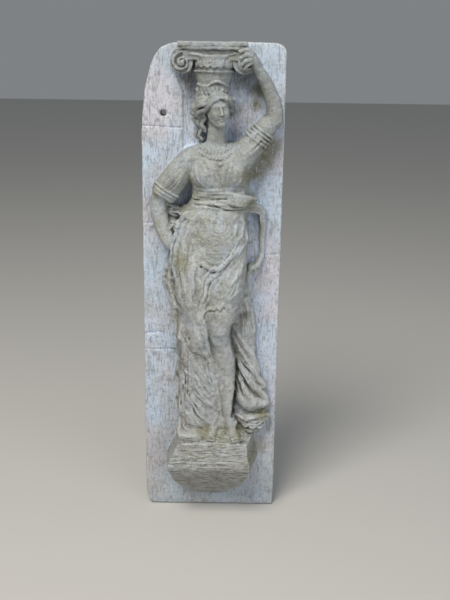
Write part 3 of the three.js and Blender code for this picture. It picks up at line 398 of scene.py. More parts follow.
capitalForm = {
    "top": 451.6,
    "abacus": (-30.6, 29),
    "volute": 10,
    "volutes": ((-26.9, 434.4), (26.9, 434.6)),
    "face": 23.0,
    "turns": 2.25,
    "bandUnder": [
        ("limb", [(-20, 22.8, 441.4, 0.8), (-8, 23.4, 440.2, 0.9), (2, 23.6, 439.8, 0.9),
         (12, 23.2, 440.4, 0.9), (21, 22.6, 442, 0.8)], 0.5),
    ],
    "echinus": [
        ("trunk", [(425.6, 0.4, 8, 17.4, 17.6), (428, 0.4, 8, 17.6, 18.4), (433, 0.4, 8, 18.4, 19.6),
         (438, 0.4, 8, 18.8, 20.4), (440.5, 0.4, 8, 19, 20.6)], 0.6, {"ends": 0.5}),
    ],
    # the necking and the ring of leaves on the hair
    "neckAndWreath": [
        ("trunk", [(405.5, 0, 9, 12.6, 13), (408.5, 0, 9, 14, 15), (412, 0, 9, 14.6, 15.6),
         (415.4, 0.4, 8.6, 14.8, 16), (416.8, 0.6, 8, 14.8, 16), (419, 0.6, 8, 15.4, 16.4),
         (423, 0.4, 8, 16.6, 17), (426.4, 0.2, 8, 17.4, 17.6)], 0.5, {"ends": 1.4}),
        ("limb", [(-13.6, 15.6, 416.6, 1), (-9, 21.6, 414.8, 1.2), (-4.4, 24.4, 415.4, 1.2),
         (-1, 25.2, 417.6, 1.3), (3, 25.6, 418.8, 1.3), (7, 24.4, 418, 1.3), (11, 20.6, 415.6, 1.2),
         (15, 13, 413, 1)], 0.6),
    ],
}


def makeCapital(clay):
    top, face, size = capitalForm["top"], capitalForm["face"], capitalForm["volute"]
    left, right = capitalForm["abacus"]
    middle, width = (left + right) / 2, right - left
    clay.block((middle, 11, top - 1.9), (width, 30, 3.8), 0.7, 0.3)
    clay.block((middle, 10, top - 4.6), (width - 3, 29, 2.4), 0.6, 0.4)
    clay.block((middle + 0.5, 10, 440.6), (width - 8, 25.4, 9), 0.8, 0.6)
    # the band runs off the outer turn of one scroll and over to the other
    clay.limb([(-35.8, face - 2.6, 438.6, 0.9), (-33.6, face - 1.2, 443.2, 1.2), (-29, face, 446, 1.5),
        (-22, face + 0.6, 446.8, 1.6), (0, face + 1, 446.6, 1.7), (18, face + 1, 446.4, 1.6),
        (27, face + 0.4, 445.6, 1.5), (32, face - 0.6, 443, 1.2)], 0.5)
    build(clay, capitalForm["bandUnder"])
    for side, (cx, ch) in zip((-1, 1), capitalForm["volutes"]):

        def drum(x, d, h):
            dish = 1.2 * np.clip(1 - np.hypot(x - cx, h - ch) / (size * 1.05), 0, 1)
            return smoothMax(np.hypot(x - cx, h - ch) - size,
                np.maximum(d - face + 1.6 + dish, -3 - d), 1.0)

        clay.form(drum, (cx - size, -3, ch - size), (cx + size, face, ch + size), 0.8)
        scroll = []
        for turn in np.linspace(0, capitalForm["turns"] * 2 * math.pi, 66):
            reach = (size - 1) * math.exp(-0.14 * turn)
            angle = math.pi / 2 - side * turn
            scroll.append((cx + reach * math.cos(angle), face - 1.1 + 0.05 * turn,
                ch + reach * math.sin(angle), max(0.7, 1.45 * math.exp(-0.05 * turn))))
        clay.limb(scroll, 0.5, per=1)
        clay.egg((cx, face - 0.4, ch), (1.9, 1.6, 1.9), 0.4)
    build(clay, capitalForm["echinus"])
    # its worn egg and dart, between two rings
    for i in range(-3, 4):
        turn = i * 0.31
        spot = (0.4 + 18.2 * math.sin(turn), 8 + 19.7 * math.cos(turn), 433.6 + 0.5 * math.sin(5 * i))
        clay.egg(spot, (2.1, 1.5, 3.2 + 0.3 * math.sin(3 * i)), 0.5, yaw=-57 * turn)
        shell = []
        for a in np.linspace(-0.4, math.pi + 0.4, 9):
            across, rise = 2.9 * math.cos(a), 3.6 * math.sin(a)
            turnHere = turn + across / 20
            shell.append((0.4 + 18.6 * math.sin(turnHere), 8 + 20.2 * math.cos(turnHere),
                434.4 - rise, 0.8))
        clay.limb(shell, 0.4, per=2)
    for h, reach in ((427, 18.0), (439.4, 19.4)):
        clay.limb([(0.4 + reach * math.sin(a), 7.6 + (reach + 0.4) * math.cos(a),
            h, 1) for a in np.linspace(-1.5, 1.5, 15)], 0.4, per=2)
    build(clay, capitalForm["neckAndWreath"])
    # curls of the hair close under it
    rng = np.random.default_rng(21)
    for level in range(3):
        h = 405.4 + 3.3 * level
        for i in range(-5, 6):
            turn = (i + 0.5 * (level % 2)) * 0.27 + rng.uniform(-0.04, 0.04)
            size = rng.uniform(1.2, 1.7)
            spot = np.array((0.2 + 14.2 * math.sin(turn), 9 + 15.4 * math.cos(turn),
                h + 0.8 * math.cos(2 * turn)))
            curl = []
            for a in np.linspace(rng.uniform(0, 2), rng.uniform(4.6, 6.2), 7):
                curl.append((spot[0] + size * math.cos(a), spot[1] + 0.4 * a / 6,
                    spot[2] + size * math.sin(a), 0.72))
            clay.limb(curl, 0.4, per=2)
            clay.egg(tuple(spot), (size * 0.7, 1.1, size * 0.7), 0.4)


headForm = {
    "middle": (4.2, 19.0, 396.0),
    "yaw": -14,
    "roll": -7,
    "locks": 7,
    "neck": [
        ("limb", [(4.5, 15, 386, 8.2), (3.6, 14.5, 376, 8), (3.2, 13.5, 367, 8.8), (3.5, 12, 358, 11)],
         3, rooted),
    ],
    "backHair": [
        ("limb", [(1.6, 8, 401, 12.6), (1.6, 6, 392, 11.4), (-1, 5, 380, 8)], 2, rooted),
    ],
    "bun": [
        ("egg", (-14.6, 15, 396.6), (5, 6, 5.6), 1),
        ("egg", (-16.4, 13, 392.4), (3.6, 5, 4), 1),
        ("limb", [(-4, 25, 396.6, 1.5), (-8.6, 24, 394.6, 1.9), (-12.4, 19.6, 392, 2),
         (-14, 15, 389, 1.6)], 0.7),
    ],
    "knobs": [
        ("egg", (17.6, 15, 403), (2.4, 2.4, 2.4), 0.5),
        ("egg", (17.4, 12.6, 397.4), (2.2, 2.4, 2.2), 0.5),
    ],
}


def makeHead(clay):
    axes = turned(headForm["yaw"], headForm["roll"])
    middle = np.array(headForm["middle"])
    aim = {"yaw": headForm["yaw"], "roll": headForm["roll"]}

    def own(x, d, h):
        return tuple(middle + axes @ np.array([x, d, h], float))

    def ownRows(*rows):
        return [own(*row[:3]) + (row[3],) for row in rows]

    build(clay, headForm["neck"])
    clay.egg(own(0, -1, 3.6), (10.2, 12.4, 12.4), 1, **aim)
    clay.egg(own(0, 3, -3.6), (8.5, 10.6, 12), 3, **aim)
    clay.egg(own(0, 5.6, 4), (7.6, 7.2, 6.2), 3, **aim)
    clay.limb(ownRows((-6.7, 2.6, -6, 3), (-3.6, 7.6, -12, 2.8), (0, 9.3, -13.4, 2.8), (3.6, 7.6, -12, 2.8),
                      (6.7, 2.6, -6, 3)), 3)
    clay.egg(own(0, 10.6, -12.6), (2.6, 2.6, 2.2), 2, **aim)
    for side in (-1, 1):
        clay.egg(own(side * 4.3, 8.6, -3.8), (3.5, 3.9, 4.2), 3, **aim)
        clay.egg(own(side * 3.5, 14, 0.2), (2.6, 2, 1.7), 1.4, cut=True, **aim)
        clay.egg(own(side * 3.5, 11.2, -0.2), (1.8, 1.6, 1.1), 0.3, **aim)
        clay.limb(ownRows((side * 5.8, 10.2, 0, 0.4), (side * 3.6, 12.3, 1, 0.5),
            (side * 1.6, 12.2, 0.2, 0.4)), 0.4)
        clay.limb(ownRows((side * 6.4, 9.4, 2, 0.8), (side * 3.8, 12, 3.1, 0.9),
            (side * 1.2, 12.8, 2.2, 0.8)), 1.4)
        clay.egg(own(side * 1.3, 13.9, -4.7), (0.95, 1.2, 0.85), 0.5, **aim)
        clay.egg(own(side * 9, -0.6, -2), (1.4, 2, 3.2), 0.8, **aim)
    clay.limb(ownRows((0, 12.6, 2.2, 0.9), (0, 14.2, -1.4, 1), (0, 15.6, -4.2, 1.25)), 0.9)
    clay.limb(ownRows((-2.3, 12.4, -8, 0.45), (-0.8, 13.5, -7.6, 0.65), (0, 13.5, -7.8, 0.55),
        (0.8, 13.5, -7.6, 0.65), (2.3, 12.4, -8, 0.45)), 0.4)
    clay.limb(ownRows((-1.9, 12.3, -9.2, 0.45), (0, 13.4, -9.5, 0.8), (1.9, 12.3, -9.2, 0.45)), 0.4)

    # waved hair from a middle parting, drawn back over a band
    locks = headForm["locks"]
    for side in (-1, 1):
        for i in range(locks):
            rise = i / (locks - 1)
            wave = 0.8 * math.sin(2.4 * i + side)
            clay.limb(ownRows(
                (side * 0.5, 12.4 - 7 * rise, 9.8 + 2.2 * rise, 1.1),
                (side * 3, 12.6 - 7.4 * rise + wave * 0.4, 9 + 2.8 * rise + wave, 1.5),
                (side * 5.8, 11 - 7 * rise, 7.2 + 3.4 * rise - wave, 1.7),
                (side * 8.8, 8 - 6.6 * rise + wave * 0.5, 4.8 + 4 * rise + wave, 1.8),
                (side * 11, 3.8 - 6 * rise, 1.4 + 4.8 * rise, 1.9),
                (side * 11.8, -1.8 - 4 * rise, -1.4 + 5 * rise, 1.8)), 0.5)
    clay.egg(own(5.2, 13.4, 8.6), (2.3, 2, 2.3), 0.4, **aim)
    clay.egg(own(2, 13.8, 9.4), (1.5, 1.4, 1.5), 0.4, **aim)
    clay.egg(own(8.4, 11.4, 7), (1.8, 1.6, 1.8), 0.4, **aim)
    build(clay, headForm["backHair"])
    # the roll at the left, marked by three bands, and the bun behind it
    for shift in (0, 2.5, 5):
        clay.limb([(-2, 28 - shift * 0.6, 400 + shift, 1.5), (-7, 27 - shift * 0.7, 400 + shift, 2),
            (-12, 23.4 - shift * 0.6, 398.6 + shift * 0.9, 2.3),
            (-15.6, 18 - shift * 0.4, 396.4 + shift * 0.8, 2)], 0.6)
    build(clay, headForm["bun"])
    # curls hanging behind the neck
    for k, (x, d, start, count) in enumerate([(-8.6, 17, 391, 6), (-11.6, 14, 390, 8), (-14.4, 10, 388, 7),
            (-10, 9, 388, 9), (-12.8, 6.6, 384, 7)]):
        rows = []
        for j in range(count):
            sway = 1.7 * math.sin(1.7 * j + 1.3 * k)
            rows.append((x + sway + 0.15 * j, d - 0.9 * j, start - 3.1 * j, 2.2 - 0.14 * j))
        clay.limb(rows, 0.5, per=4)
    for i in range(4):
        h = 404.6 - 3.6 * i
        clay.limb([(11 + 0.9 * i, 21 - 1.2 * i, h + 1, 1.7), (15 + 0.5 * i, 17.4 - 1.4 * i, h - 0.6, 2.1),
                   (17.4 - 0.2 * i, 12.6 - 1.2 * i, h - 3, 2), (16.6 - 0.4 * i, 9 - i, h - 6.4, 1.6)], 0.6)
    build(clay, headForm["knobs"])


bodyForm = {
    # h, middle x, middle d, half width, half depth
    "torso": [
        (300, 1, 13, 32, 19.5), (308, 4, 13, 28.5, 18.5), (317, 7, 13.5, 25.4, 17),
        (326, 7.4, 14, 25.4, 16.8), (335, 7.4, 14.2, 26.2, 17.8), (344, 7, 14.2, 26.2, 17.8),
        (352, 5.5, 13, 24.5, 16), (358, 4.5, 12, 19, 13.5), (363, 4, 12, 11, 10),
    ],
    "hips": [
        (200, 0, 12, 26, 17), (214, 0, 13, 29, 19.5), (228, -1.4, 13, 31.2, 20.5),
        (248, -2.4, 13, 33.2, 21), (264, -2.4, 13, 34.4, 21.5), (276, -1, 13, 34, 21.5),
        (290, 0.2, 13, 32.6, 21), (303, 3, 13, 29.4, 19.5), (314, 6, 13, 26, 17.5),
    ],
    "bust": [
        ("egg", (-8, 24.6, 340), (10.6, 8.6, 10.8), 7),
        ("egg", (17.4, 24.6, 341.6), (10.6, 8.6, 10.8), 7),
        ("limb", [(3, 12, 357, 9), (-12, 12.5, 355, 8.6), (-21, 13, 349, 9.6)], 5, rooted),
        ("limb", [(3, 12, 357, 9), (18, 13, 357, 9.4), (28, 14, 358, 11)], 5, rooted),
    ],
    "hipsAndThighs": [
        ("egg", (6, 24, 284), (17, 11.6, 21), 8),
        ("egg", (-17, 26, 236), (11.4, 11.4, 27), 7),
        ("egg", (14.5, 27, 238), (11.6, 10.6, 22), 7),
        ("egg", (-12.6, 31.4, 190), (8, 5.6, 12), 5),
        ("limb", [(15, 16, 262, 17), (13.5, 20, 240, 15.5), (10.5, 25, 218, 12.4),
         (8.6, 27.5, 201, 10.4)], 5),
        ("limb", [(-17, 14, 262, 17), (-16.5, 20, 240, 15.2), (-14.2, 24, 215, 12.4),
         (-12, 25.5, 193, 10.4), (-11, 22, 176, 9.4)], 5),
    ],
}


def makeBody(clay):
    clay.trunk(bodyForm["torso"], 3, power=2.3, ends=3)
    build(clay, bodyForm["bust"])
    clay.trunk(bodyForm["hips"], 3, power=2.2, ends=4)
    clay.egg((7, clay.surfaceAt(7, 349.4) + 0.4, 349.4), (2.4, 1.9, 2.6), 0.4)
    build(clay, bodyForm["hipsAndThighs"])


def makeCuffs(clay, count, first, step, across, reach, radius):
    # rolled sleeve edges around the front of an arm, each a little smaller than the one before
    for i in range(count):
        x, d, h = (start + i * way for start, way in zip(first, step))
        wide, thick = reach[0] - i * reach[1], radius[0] - i * radius[1]
        rows = []
        for turn in np.linspace(-0.25, math.pi + 0.25, 14):
            side = math.cos(turn)
            rows.append((x + across[0] * wide * side, d + wide * 0.95 * math.sin(turn),
                         h + across[1] * wide * side, thick * (1 + 0.16 * math.sin(5 * turn + wide))))
        clay.limb(rows, 0.5, per=2)


armForm = {
    "raisedCuffs": {"count": 4, "first": (38.8, 14, 369), "step": (2, 0, 2.5), "across": (0.81, -0.585),
                    "reach": (11.6, 0.5), "radius": (1.5, 0.08)},
    "bentCuffs": {"count": 3, "first": (-40.6, 13, 324.6), "step": (-1.8, 0, -2.7), "across": (0.83, -0.55),
                  "reach": (12, 0.8), "radius": (1.5, 0.1)},
    "curls": {"count": 20, "seed": 37, "x": (-40, -25), "h": (288, 311), "size": (2.4, 4.4),
        "thick": (0.8, 1.4)},
    "raisedArm": [
        # raised arm, its hand over the scroll
        ("limb", [(26, 14, 352, 12), (33, 15, 361, 11.6), (40, 14.2, 371, 10), (47, 13.5, 380, 8.8)],
         4, rooted),
        ("limb", [(46, 13.5, 377.6, 9), (53, 12.4, 386.4, 7.4), (54.4, 12.6, 393, 7),
         (52.4, 13.4, 402, 6.5), (48.2, 15, 412, 5.9), (43.4, 18, 422, 5.1), (39, 21, 429, 4.6),
         (35, 24, 435.6, 4.4)], 1.5, rooted),
        ("egg", (56.8, 11.6, 385.6), (4.4, 5, 4.6), 3),
        ("egg", (32.4, 25.6, 438.6), (5.8, 4, 5), 2, {"roll": 35}),
    ],
    "fingers": [
        ((33, 27.4, 443), (28.4, 29, 445.2), (22.4, 27.6, 443.6), 1.9),
        ((32, 28.6, 440.4), (28, 30, 441.2), (23, 28.2, 438.4), 1.85),
        ((31.4, 28.8, 437.2), (28.2, 29.8, 436.4), (24.6, 28, 433.2), 1.75),
        ((31.6, 28.2, 434), (29, 28.8, 432.4), (26.6, 27, 429.4), 1.6),
    ],
    "bentArm": [
        # bent arm, its hand at the hip
        ("limb", [(-20, 13.5, 350, 10.4), (-27, 13.5, 342, 11.4), (-36, 13, 331, 12),
         (-42, 13, 323, 11.4)], 4, rooted),
        ("limb", [(-44, 12.5, 321, 8.4), (-48, 12, 313, 8), (-48.8, 12.5, 305, 7.5), (-46.6, 14, 295, 7),
         (-42.6, 16, 284, 6.4), (-37.4, 17, 274, 5.8), (-32, 17, 268, 5.4)], 1.5, rooted),
    ],
    "bentCloth": [
        ("limb", [(-43, 5, 308, 4), (-36, 6, 304, 5.4), (-28, 7, 302, 5.8), (-22, 9, 305, 4.6)], 2, rooted),
        ("limb", [(-40, 5, 298, 4), (-34, 6, 292, 5.2), (-31, 7, 286, 4.6), (-33, 7, 278, 3.6)], 2, rooted),
        ("egg", (-37, 6, 287), (5, 8, 10), 3),
    ],
}


def makeArms(clay):
    build(clay, armForm["raisedArm"])
    # the fingers lie over the scroll, the first one longest
    for start, middle, end, size in armForm["fingers"]:
        clay.limb([start + (size + 0.2,), middle + (size,), end + (size * 0.78,)], 0.6)
    makeCuffs(clay, **armForm["raisedCuffs"])
    build(clay, armForm["bentArm"])
    makeCuffs(clay, **armForm["bentCuffs"])
    # cloth bunched low in the bend of the arm, crumpled into short curls
    curls = armForm["curls"]
    rng = np.random.default_rng(curls["seed"])
    build(clay, armForm["bentCloth"])
    for i in range(curls["count"]):
        x, h = rng.uniform(*curls["x"]), rng.uniform(*curls["h"])
        turn, size = rng.uniform(-0.9, 0.9), rng.uniform(*curls["size"])
        rows = [(x + size * t * math.cos(turn), h + size * t * math.sin(turn) + 1.3 * t * t,
                 rng.uniform(*curls["thick"])) for t in (-1, -0.4, 0.3, 1)]
        clay.laid(rows, sink=0.05, blend=0.6)


legForm = {
    "legsAndFeet": [
        ("limb", [(10.5, 25, 218, 11.6), (8.6, 27.4, 201, 10.3), (8.9, 25.4, 190, 9.5),
         (10.4, 22, 180, 9.3), (13, 18.6, 164, 10.2), (14.6, 17.5, 152, 9.9), (16, 17, 135, 8.2),
         (16.8, 17, 119, 6.8), (17.6, 17, 106, 5.9), (19.4, 16.6, 95, 5.8)], 3, rooted),
        ("egg", (8.4, 34.6, 199.5), (5.2, 3.6, 6.2), 3),
        ("egg", (24, 16, 99), (2.2, 3, 2.6), 1.5),
        ("limb", [(18.4, 12, 90, 5.4), (20.6, 18, 89.4, 5.2), (23.6, 24, 87.8, 4.6),
         (26.4, 29, 86, 3.4)], 2, rooted),
        ("limb", [(2, 15, 106, 5.8), (2.6, 19, 97, 5), (2.4, 24, 91.6, 4.2), (1.4, 27.6, 88.4, 3.2)],
         2.4, rooted),
        ("egg", (9.6, 13, 97), (6, 9, 9), 3),
    ],
}


def makeLegs(clay):
    build(clay, legForm["legsAndFeet"])
    for i in range(5):
        size = 2 - 0.16 * i
        clay.limb([(21.8 + 2.3 * i, 29 - 0.9 * i, 86, size),
            (23 + 2.3 * i, 32.2 - i, 85, size * 0.85)], 0.5)
    for i in range(4):
        clay.limb([(-1.6 + 1.9 * i, 28.6, 87.2, 1.4), (-2.2 + 2 * i, 31.2, 86, 1.1)], 0.6)


clothForm = {
    "skirt": [
        (88, -10, 8, 21, 14), (100, -9.6, 9, 21, 15), (118, -9.4, 10, 20.6, 15.6),
        (135, -10.6, 10.6, 19, 16), (150, -12.4, 11, 17.6, 16.6), (175, -13.4, 12, 17.8, 18),
        (196, -11.6, 13, 20, 19), (214, -6, 13, 25, 19.5),
    ],
    "behindLeg": [
        (90, 30, 0, 12, 7), (98, 35, 0, 17, 8.5), (108, 37.6, 0, 20.4, 9), (120, 37, 0, 19.6, 9.5),
        (140, 34, 0, 16.2, 10), (160, 29.4, 0, 13.8, 11), (182, 28, 1, 14.4, 12), (205, 26, 2, 15.2, 14),
        (224, 22, 4, 15, 17),
    ],
    "columns": [
        ("limb", [(-1, 23, 196, 5), (1.4, 22, 182, 5.6), (3, 19.6, 168, 6), (6, 17.6, 150, 5.8),
         (8.6, 16.4, 132, 5.2), (10.6, 15, 116, 4.6), (12, 13.4, 102, 4)], 2.6, rooted),
        ("limb", [(-33, 3, 266, 6), (-36.4, 3, 246, 6), (-34, 4, 222, 6), (-28.6, 5, 198, 5.6),
         (-27.6, 5, 184, 5.6), (-24.4, 6, 170, 5.4), (-27, 5, 156, 5.2), (-24, 6, 141, 5.4),
         (-27, 5, 127, 5.6), (-24, 6, 111, 5), (-26.6, 5, 92, 5.2)], 2.5, {"flat": 1.5}),
    ],
    "dents": [
        (-23, 186), (-21.4, 160), (-22.6, 148), (-21, 132), (-22.4, 118), (-21.6, 102),
    ],
    "sashEnd": [
        ("limb", [(-36, 4, 247, 3.6), (-42.5, 4, 239, 3), (-41, 5, 230, 2.8), (-37, 6, 221, 2.6)], 1.5),
        # the loose end of the sash leaves the hip below the knot, hangs free and turns in behind the leg
        ("limb", [(27, 14, 307.6, 4), (33, 12, 307.6, 3.6), (38.6, 10, 307.6, 3.2), (43, 7.6, 305.4, 3.2),
         (46.4, 5.4, 300.4, 3.2), (47.2, 3.6, 292, 3.1), (46.8, 2.6, 281, 2.9), (46.4, 2.6, 270, 2.3),
         (45.2, 3, 261, 2.4), (42, 3.6, 254, 3), (36.4, 4.6, 251, 3.6), (33.4, 5, 243, 3.2)], 1.2, rooted),
        ("limb", [(30, 17, 310.4, 1.2), (37, 13.6, 310.4, 1.4), (43.4, 9.8, 307.6, 1.3),
         (47.6, 7, 301, 1.1), (48.6, 5.4, 292, 0.9)], 0.8),
        ("limb", [(33, 15, 304.4, 1), (39.6, 11.4, 304, 1.2), (44.4, 7.6, 299.6, 1.1),
         (45.6, 5.6, 290, 1)], 0.8),
        ("limb", [(46, 3.6, 261, 1.8), (42.6, 6.4, 255, 2.4), (36, 7.6, 250.6, 2.2),
         (33.6, 6.4, 246, 1.8)], 0.9),
        ("limb", [(45.4, 4.6, 256.6, 1), (40.6, 7.6, 252, 1.3), (36.6, 8.4, 249, 0.9)], 0.5),
        ("limb", [(44.6, 5, 251.6, 1), (41, 6.6, 248.6, 1.3), (37.4, 6.6, 246.6, 0.9)], 0.5),
        ("limb", [(33.6, 3, 246, 3.2), (34.4, 3, 228, 3.5), (35.4, 3, 210, 3.8), (38.2, 3, 191, 4.3),
         (38.8, 3, 177, 4.2), (39, 3, 163, 5)], 2, {"flat": 1.5}),
        ("limb", [(30, 8, 238, 2), (30.6, 8, 222, 2.4), (31.6, 7, 206, 2.6), (32, 6.6, 190, 2.4),
         (33, 6, 176, 1.8)], 1.4, rooted),
    ],
    "sweep": [
        ((22, 12, 196), (29, 12.4, 182), (39, 11, 166), (46, 8, 148), 2.6),
        ((22, 11, 184), (30, 12, 168), (40, 11.4, 152), (51, 8.4, 134), 2.9),
        ((26, 10, 166), (31, 11.6, 152), (40, 11.4, 138), (54, 7.6, 121), 3),
        ((27, 9, 150), (30, 11.6, 138), (36, 12, 126), (44, 10, 117), 2.8),
        ((26, 8, 134), (28, 11, 124), (32, 12, 116), (38, 11, 110), 2.4),
    ],
    "lobes": [
        # the hanging end at the lower right turns over in two lobes
        ("limb", [(28, 6, 122, 7), (38, 7.5, 116, 8), (47, 7.4, 115.6, 6.4), (53.4, 6.4, 116.4, 4.4)],
         2, rooted),
        ("limb", [(24, 5, 101, 4.6), (32, 7, 99.4, 6.4), (42, 8, 97.4, 7.6), (50, 7, 99.4, 5.6),
         (56, 5.4, 101.4, 3.2)], 1.6, rooted),
        ("limb", [(30, 4, 90, 4), (38, 6, 88, 5), (45, 6, 90, 4.6), (51, 5, 95, 3.6)], 1.6, rooted),
        ("limb", [(40, 4, 84.4, 2.6), (44, 5, 86.4, 3)], 1.2, rooted),
        ("limb", [(25, 10, 104, 1.6), (33, 13.4, 101, 2.4), (42, 14, 102.4, 2.8), (50, 11.6, 104, 2.2),
         (57, 7.6, 102.4, 1.6)], 1.4),
        ("limb", [(27, 8, 97.6, 1.4), (35, 12, 95.4, 2), (44, 13, 96, 2.4), (51, 9.6, 99, 1.6)], 1.2),
        ("limb", [(31, 6, 90, 1.4), (36, 9.4, 88, 1.9), (42, 10.4, 88.6, 2.2), (48, 8, 92, 1.5)], 1.2),
        ("limb", [(37, 13.4, 98.4, 0.9), (41, 14.8, 96.6, 1.2), (46, 13.4, 99.4, 0.9)], 0.5),
        # its wavy edge
        ("limb", [(27, 11, 101, 1), (30.6, 12, 95.6, 1.6), (34, 13.4, 92.6, 1.5), (37.4, 14, 95.4, 1.4),
         (40.6, 14.4, 91, 1.6), (44.6, 13.4, 93.6, 1.4), (48, 11.6, 90.6, 1.5), (51.6, 9.6, 95, 1.5),
         (56, 7.6, 99, 1.4)], 0.9),
        ("limb", [(33, 10, 90, 1), (38, 11.4, 86.6, 1.5), (43, 11.4, 88, 1.3), (47, 9.4, 86, 1.3)], 0.9),
    ],
    "lobeCuts": [
        (35, 12, 99.6), (43.4, 12.6, 98), (49.6, 10.4, 97),
    ],
    "knot": [
        ("limb", [(44.6, 9, 109.6, 1.4), (50, 8, 109.4, 1.8), (55.6, 6.6, 111.4, 1.8)], 1.2, cut),
        # the knot of the sash, drawn tight and pulled to a point at the hip
        ("egg", (24, 26, 318), (8, 5, 5.4), 3),
        ("limb", [(8, 31, 317, 1.6), (17, 31.4, 316.4, 2.4), (25, 30.4, 317, 3.6), (31.6, 27, 318, 3.8),
         (36.6, 22, 317.4, 2.6), (40, 18, 316.4, 1.2)], 1.4, {"flat": 0.8}),
        ("limb", [(20, 32.6, 321.4, 0.9), (28, 31, 321.4, 1.3), (35, 25.6, 319.6, 1.2),
         (39, 20, 317.4, 0.9)], 0.6),
        ("limb", [(22, 32.6, 313.4, 0.8), (29, 30.6, 313.6, 1.3), (34, 26.6, 315.2, 1.2),
         (38.4, 20.4, 316, 0.8)], 0.6),
    ],
}


def makeCloth(clay):
    clay.trunk(clothForm["skirt"], 3.5, power=2.3, ends=2.5)
    clay.trunk(clothForm["behindLeg"], 3.5, power=2.3, ends=2.5)
    build(clay, clothForm["columns"])
    for x, h in clothForm["dents"]:
        clay.egg((x, 15, h), (2.4, 4.4, 6), 3, roll=25)
    build(clay, clothForm["sashEnd"])
    # folds sweeping away from the bare knee to the lower right
    for start, early, late, end, size in clothForm["sweep"]:
        clay.limb([start + (size * 0.7,), early + (size,), late + (size * 1.15,), end + (size * 0.9,)],
            1.8, rooted=True)
    build(clay, clothForm["lobes"])
    for x, d, h in clothForm["lobeCuts"]:
        clay.egg((x, d, h), (2.6, 2, 1.6), 1, roll=30, cut=True)
    build(clay, clothForm["knot"])


hollowForm = {
    "inCloth": [
        # hollows between the thighs, beside the covered leg and over the bent arm's hip
        ("limb", [(-12, 42, 250, 1), (-12.6, 41, 240, 2.6), (-13, 41, 228, 2.6), (-13, 41, 216, 1.6)], 5,
         {"flat": 1.6, "cut": True}),
        ("limb", [(-27, 38, 214, 1), (-24.6, 38, 200, 2.6), (-22.6, 37, 184, 3), (-23, 36, 160, 2.6),
         (-23.6, 34, 130, 2.4), (-24, 32, 102, 2)], 5, {"flat": 1.8, "cut": True}),
        ("limb", [(-3, 38, 208, 1), (-3.6, 39, 196, 2), (-2.6, 38.6, 186, 1.6)], 3.4,
         {"flat": 1.4, "cut": True}),
    ],
}


def hollowCloth(clay):
    build(clay, hollowForm["inCloth"])


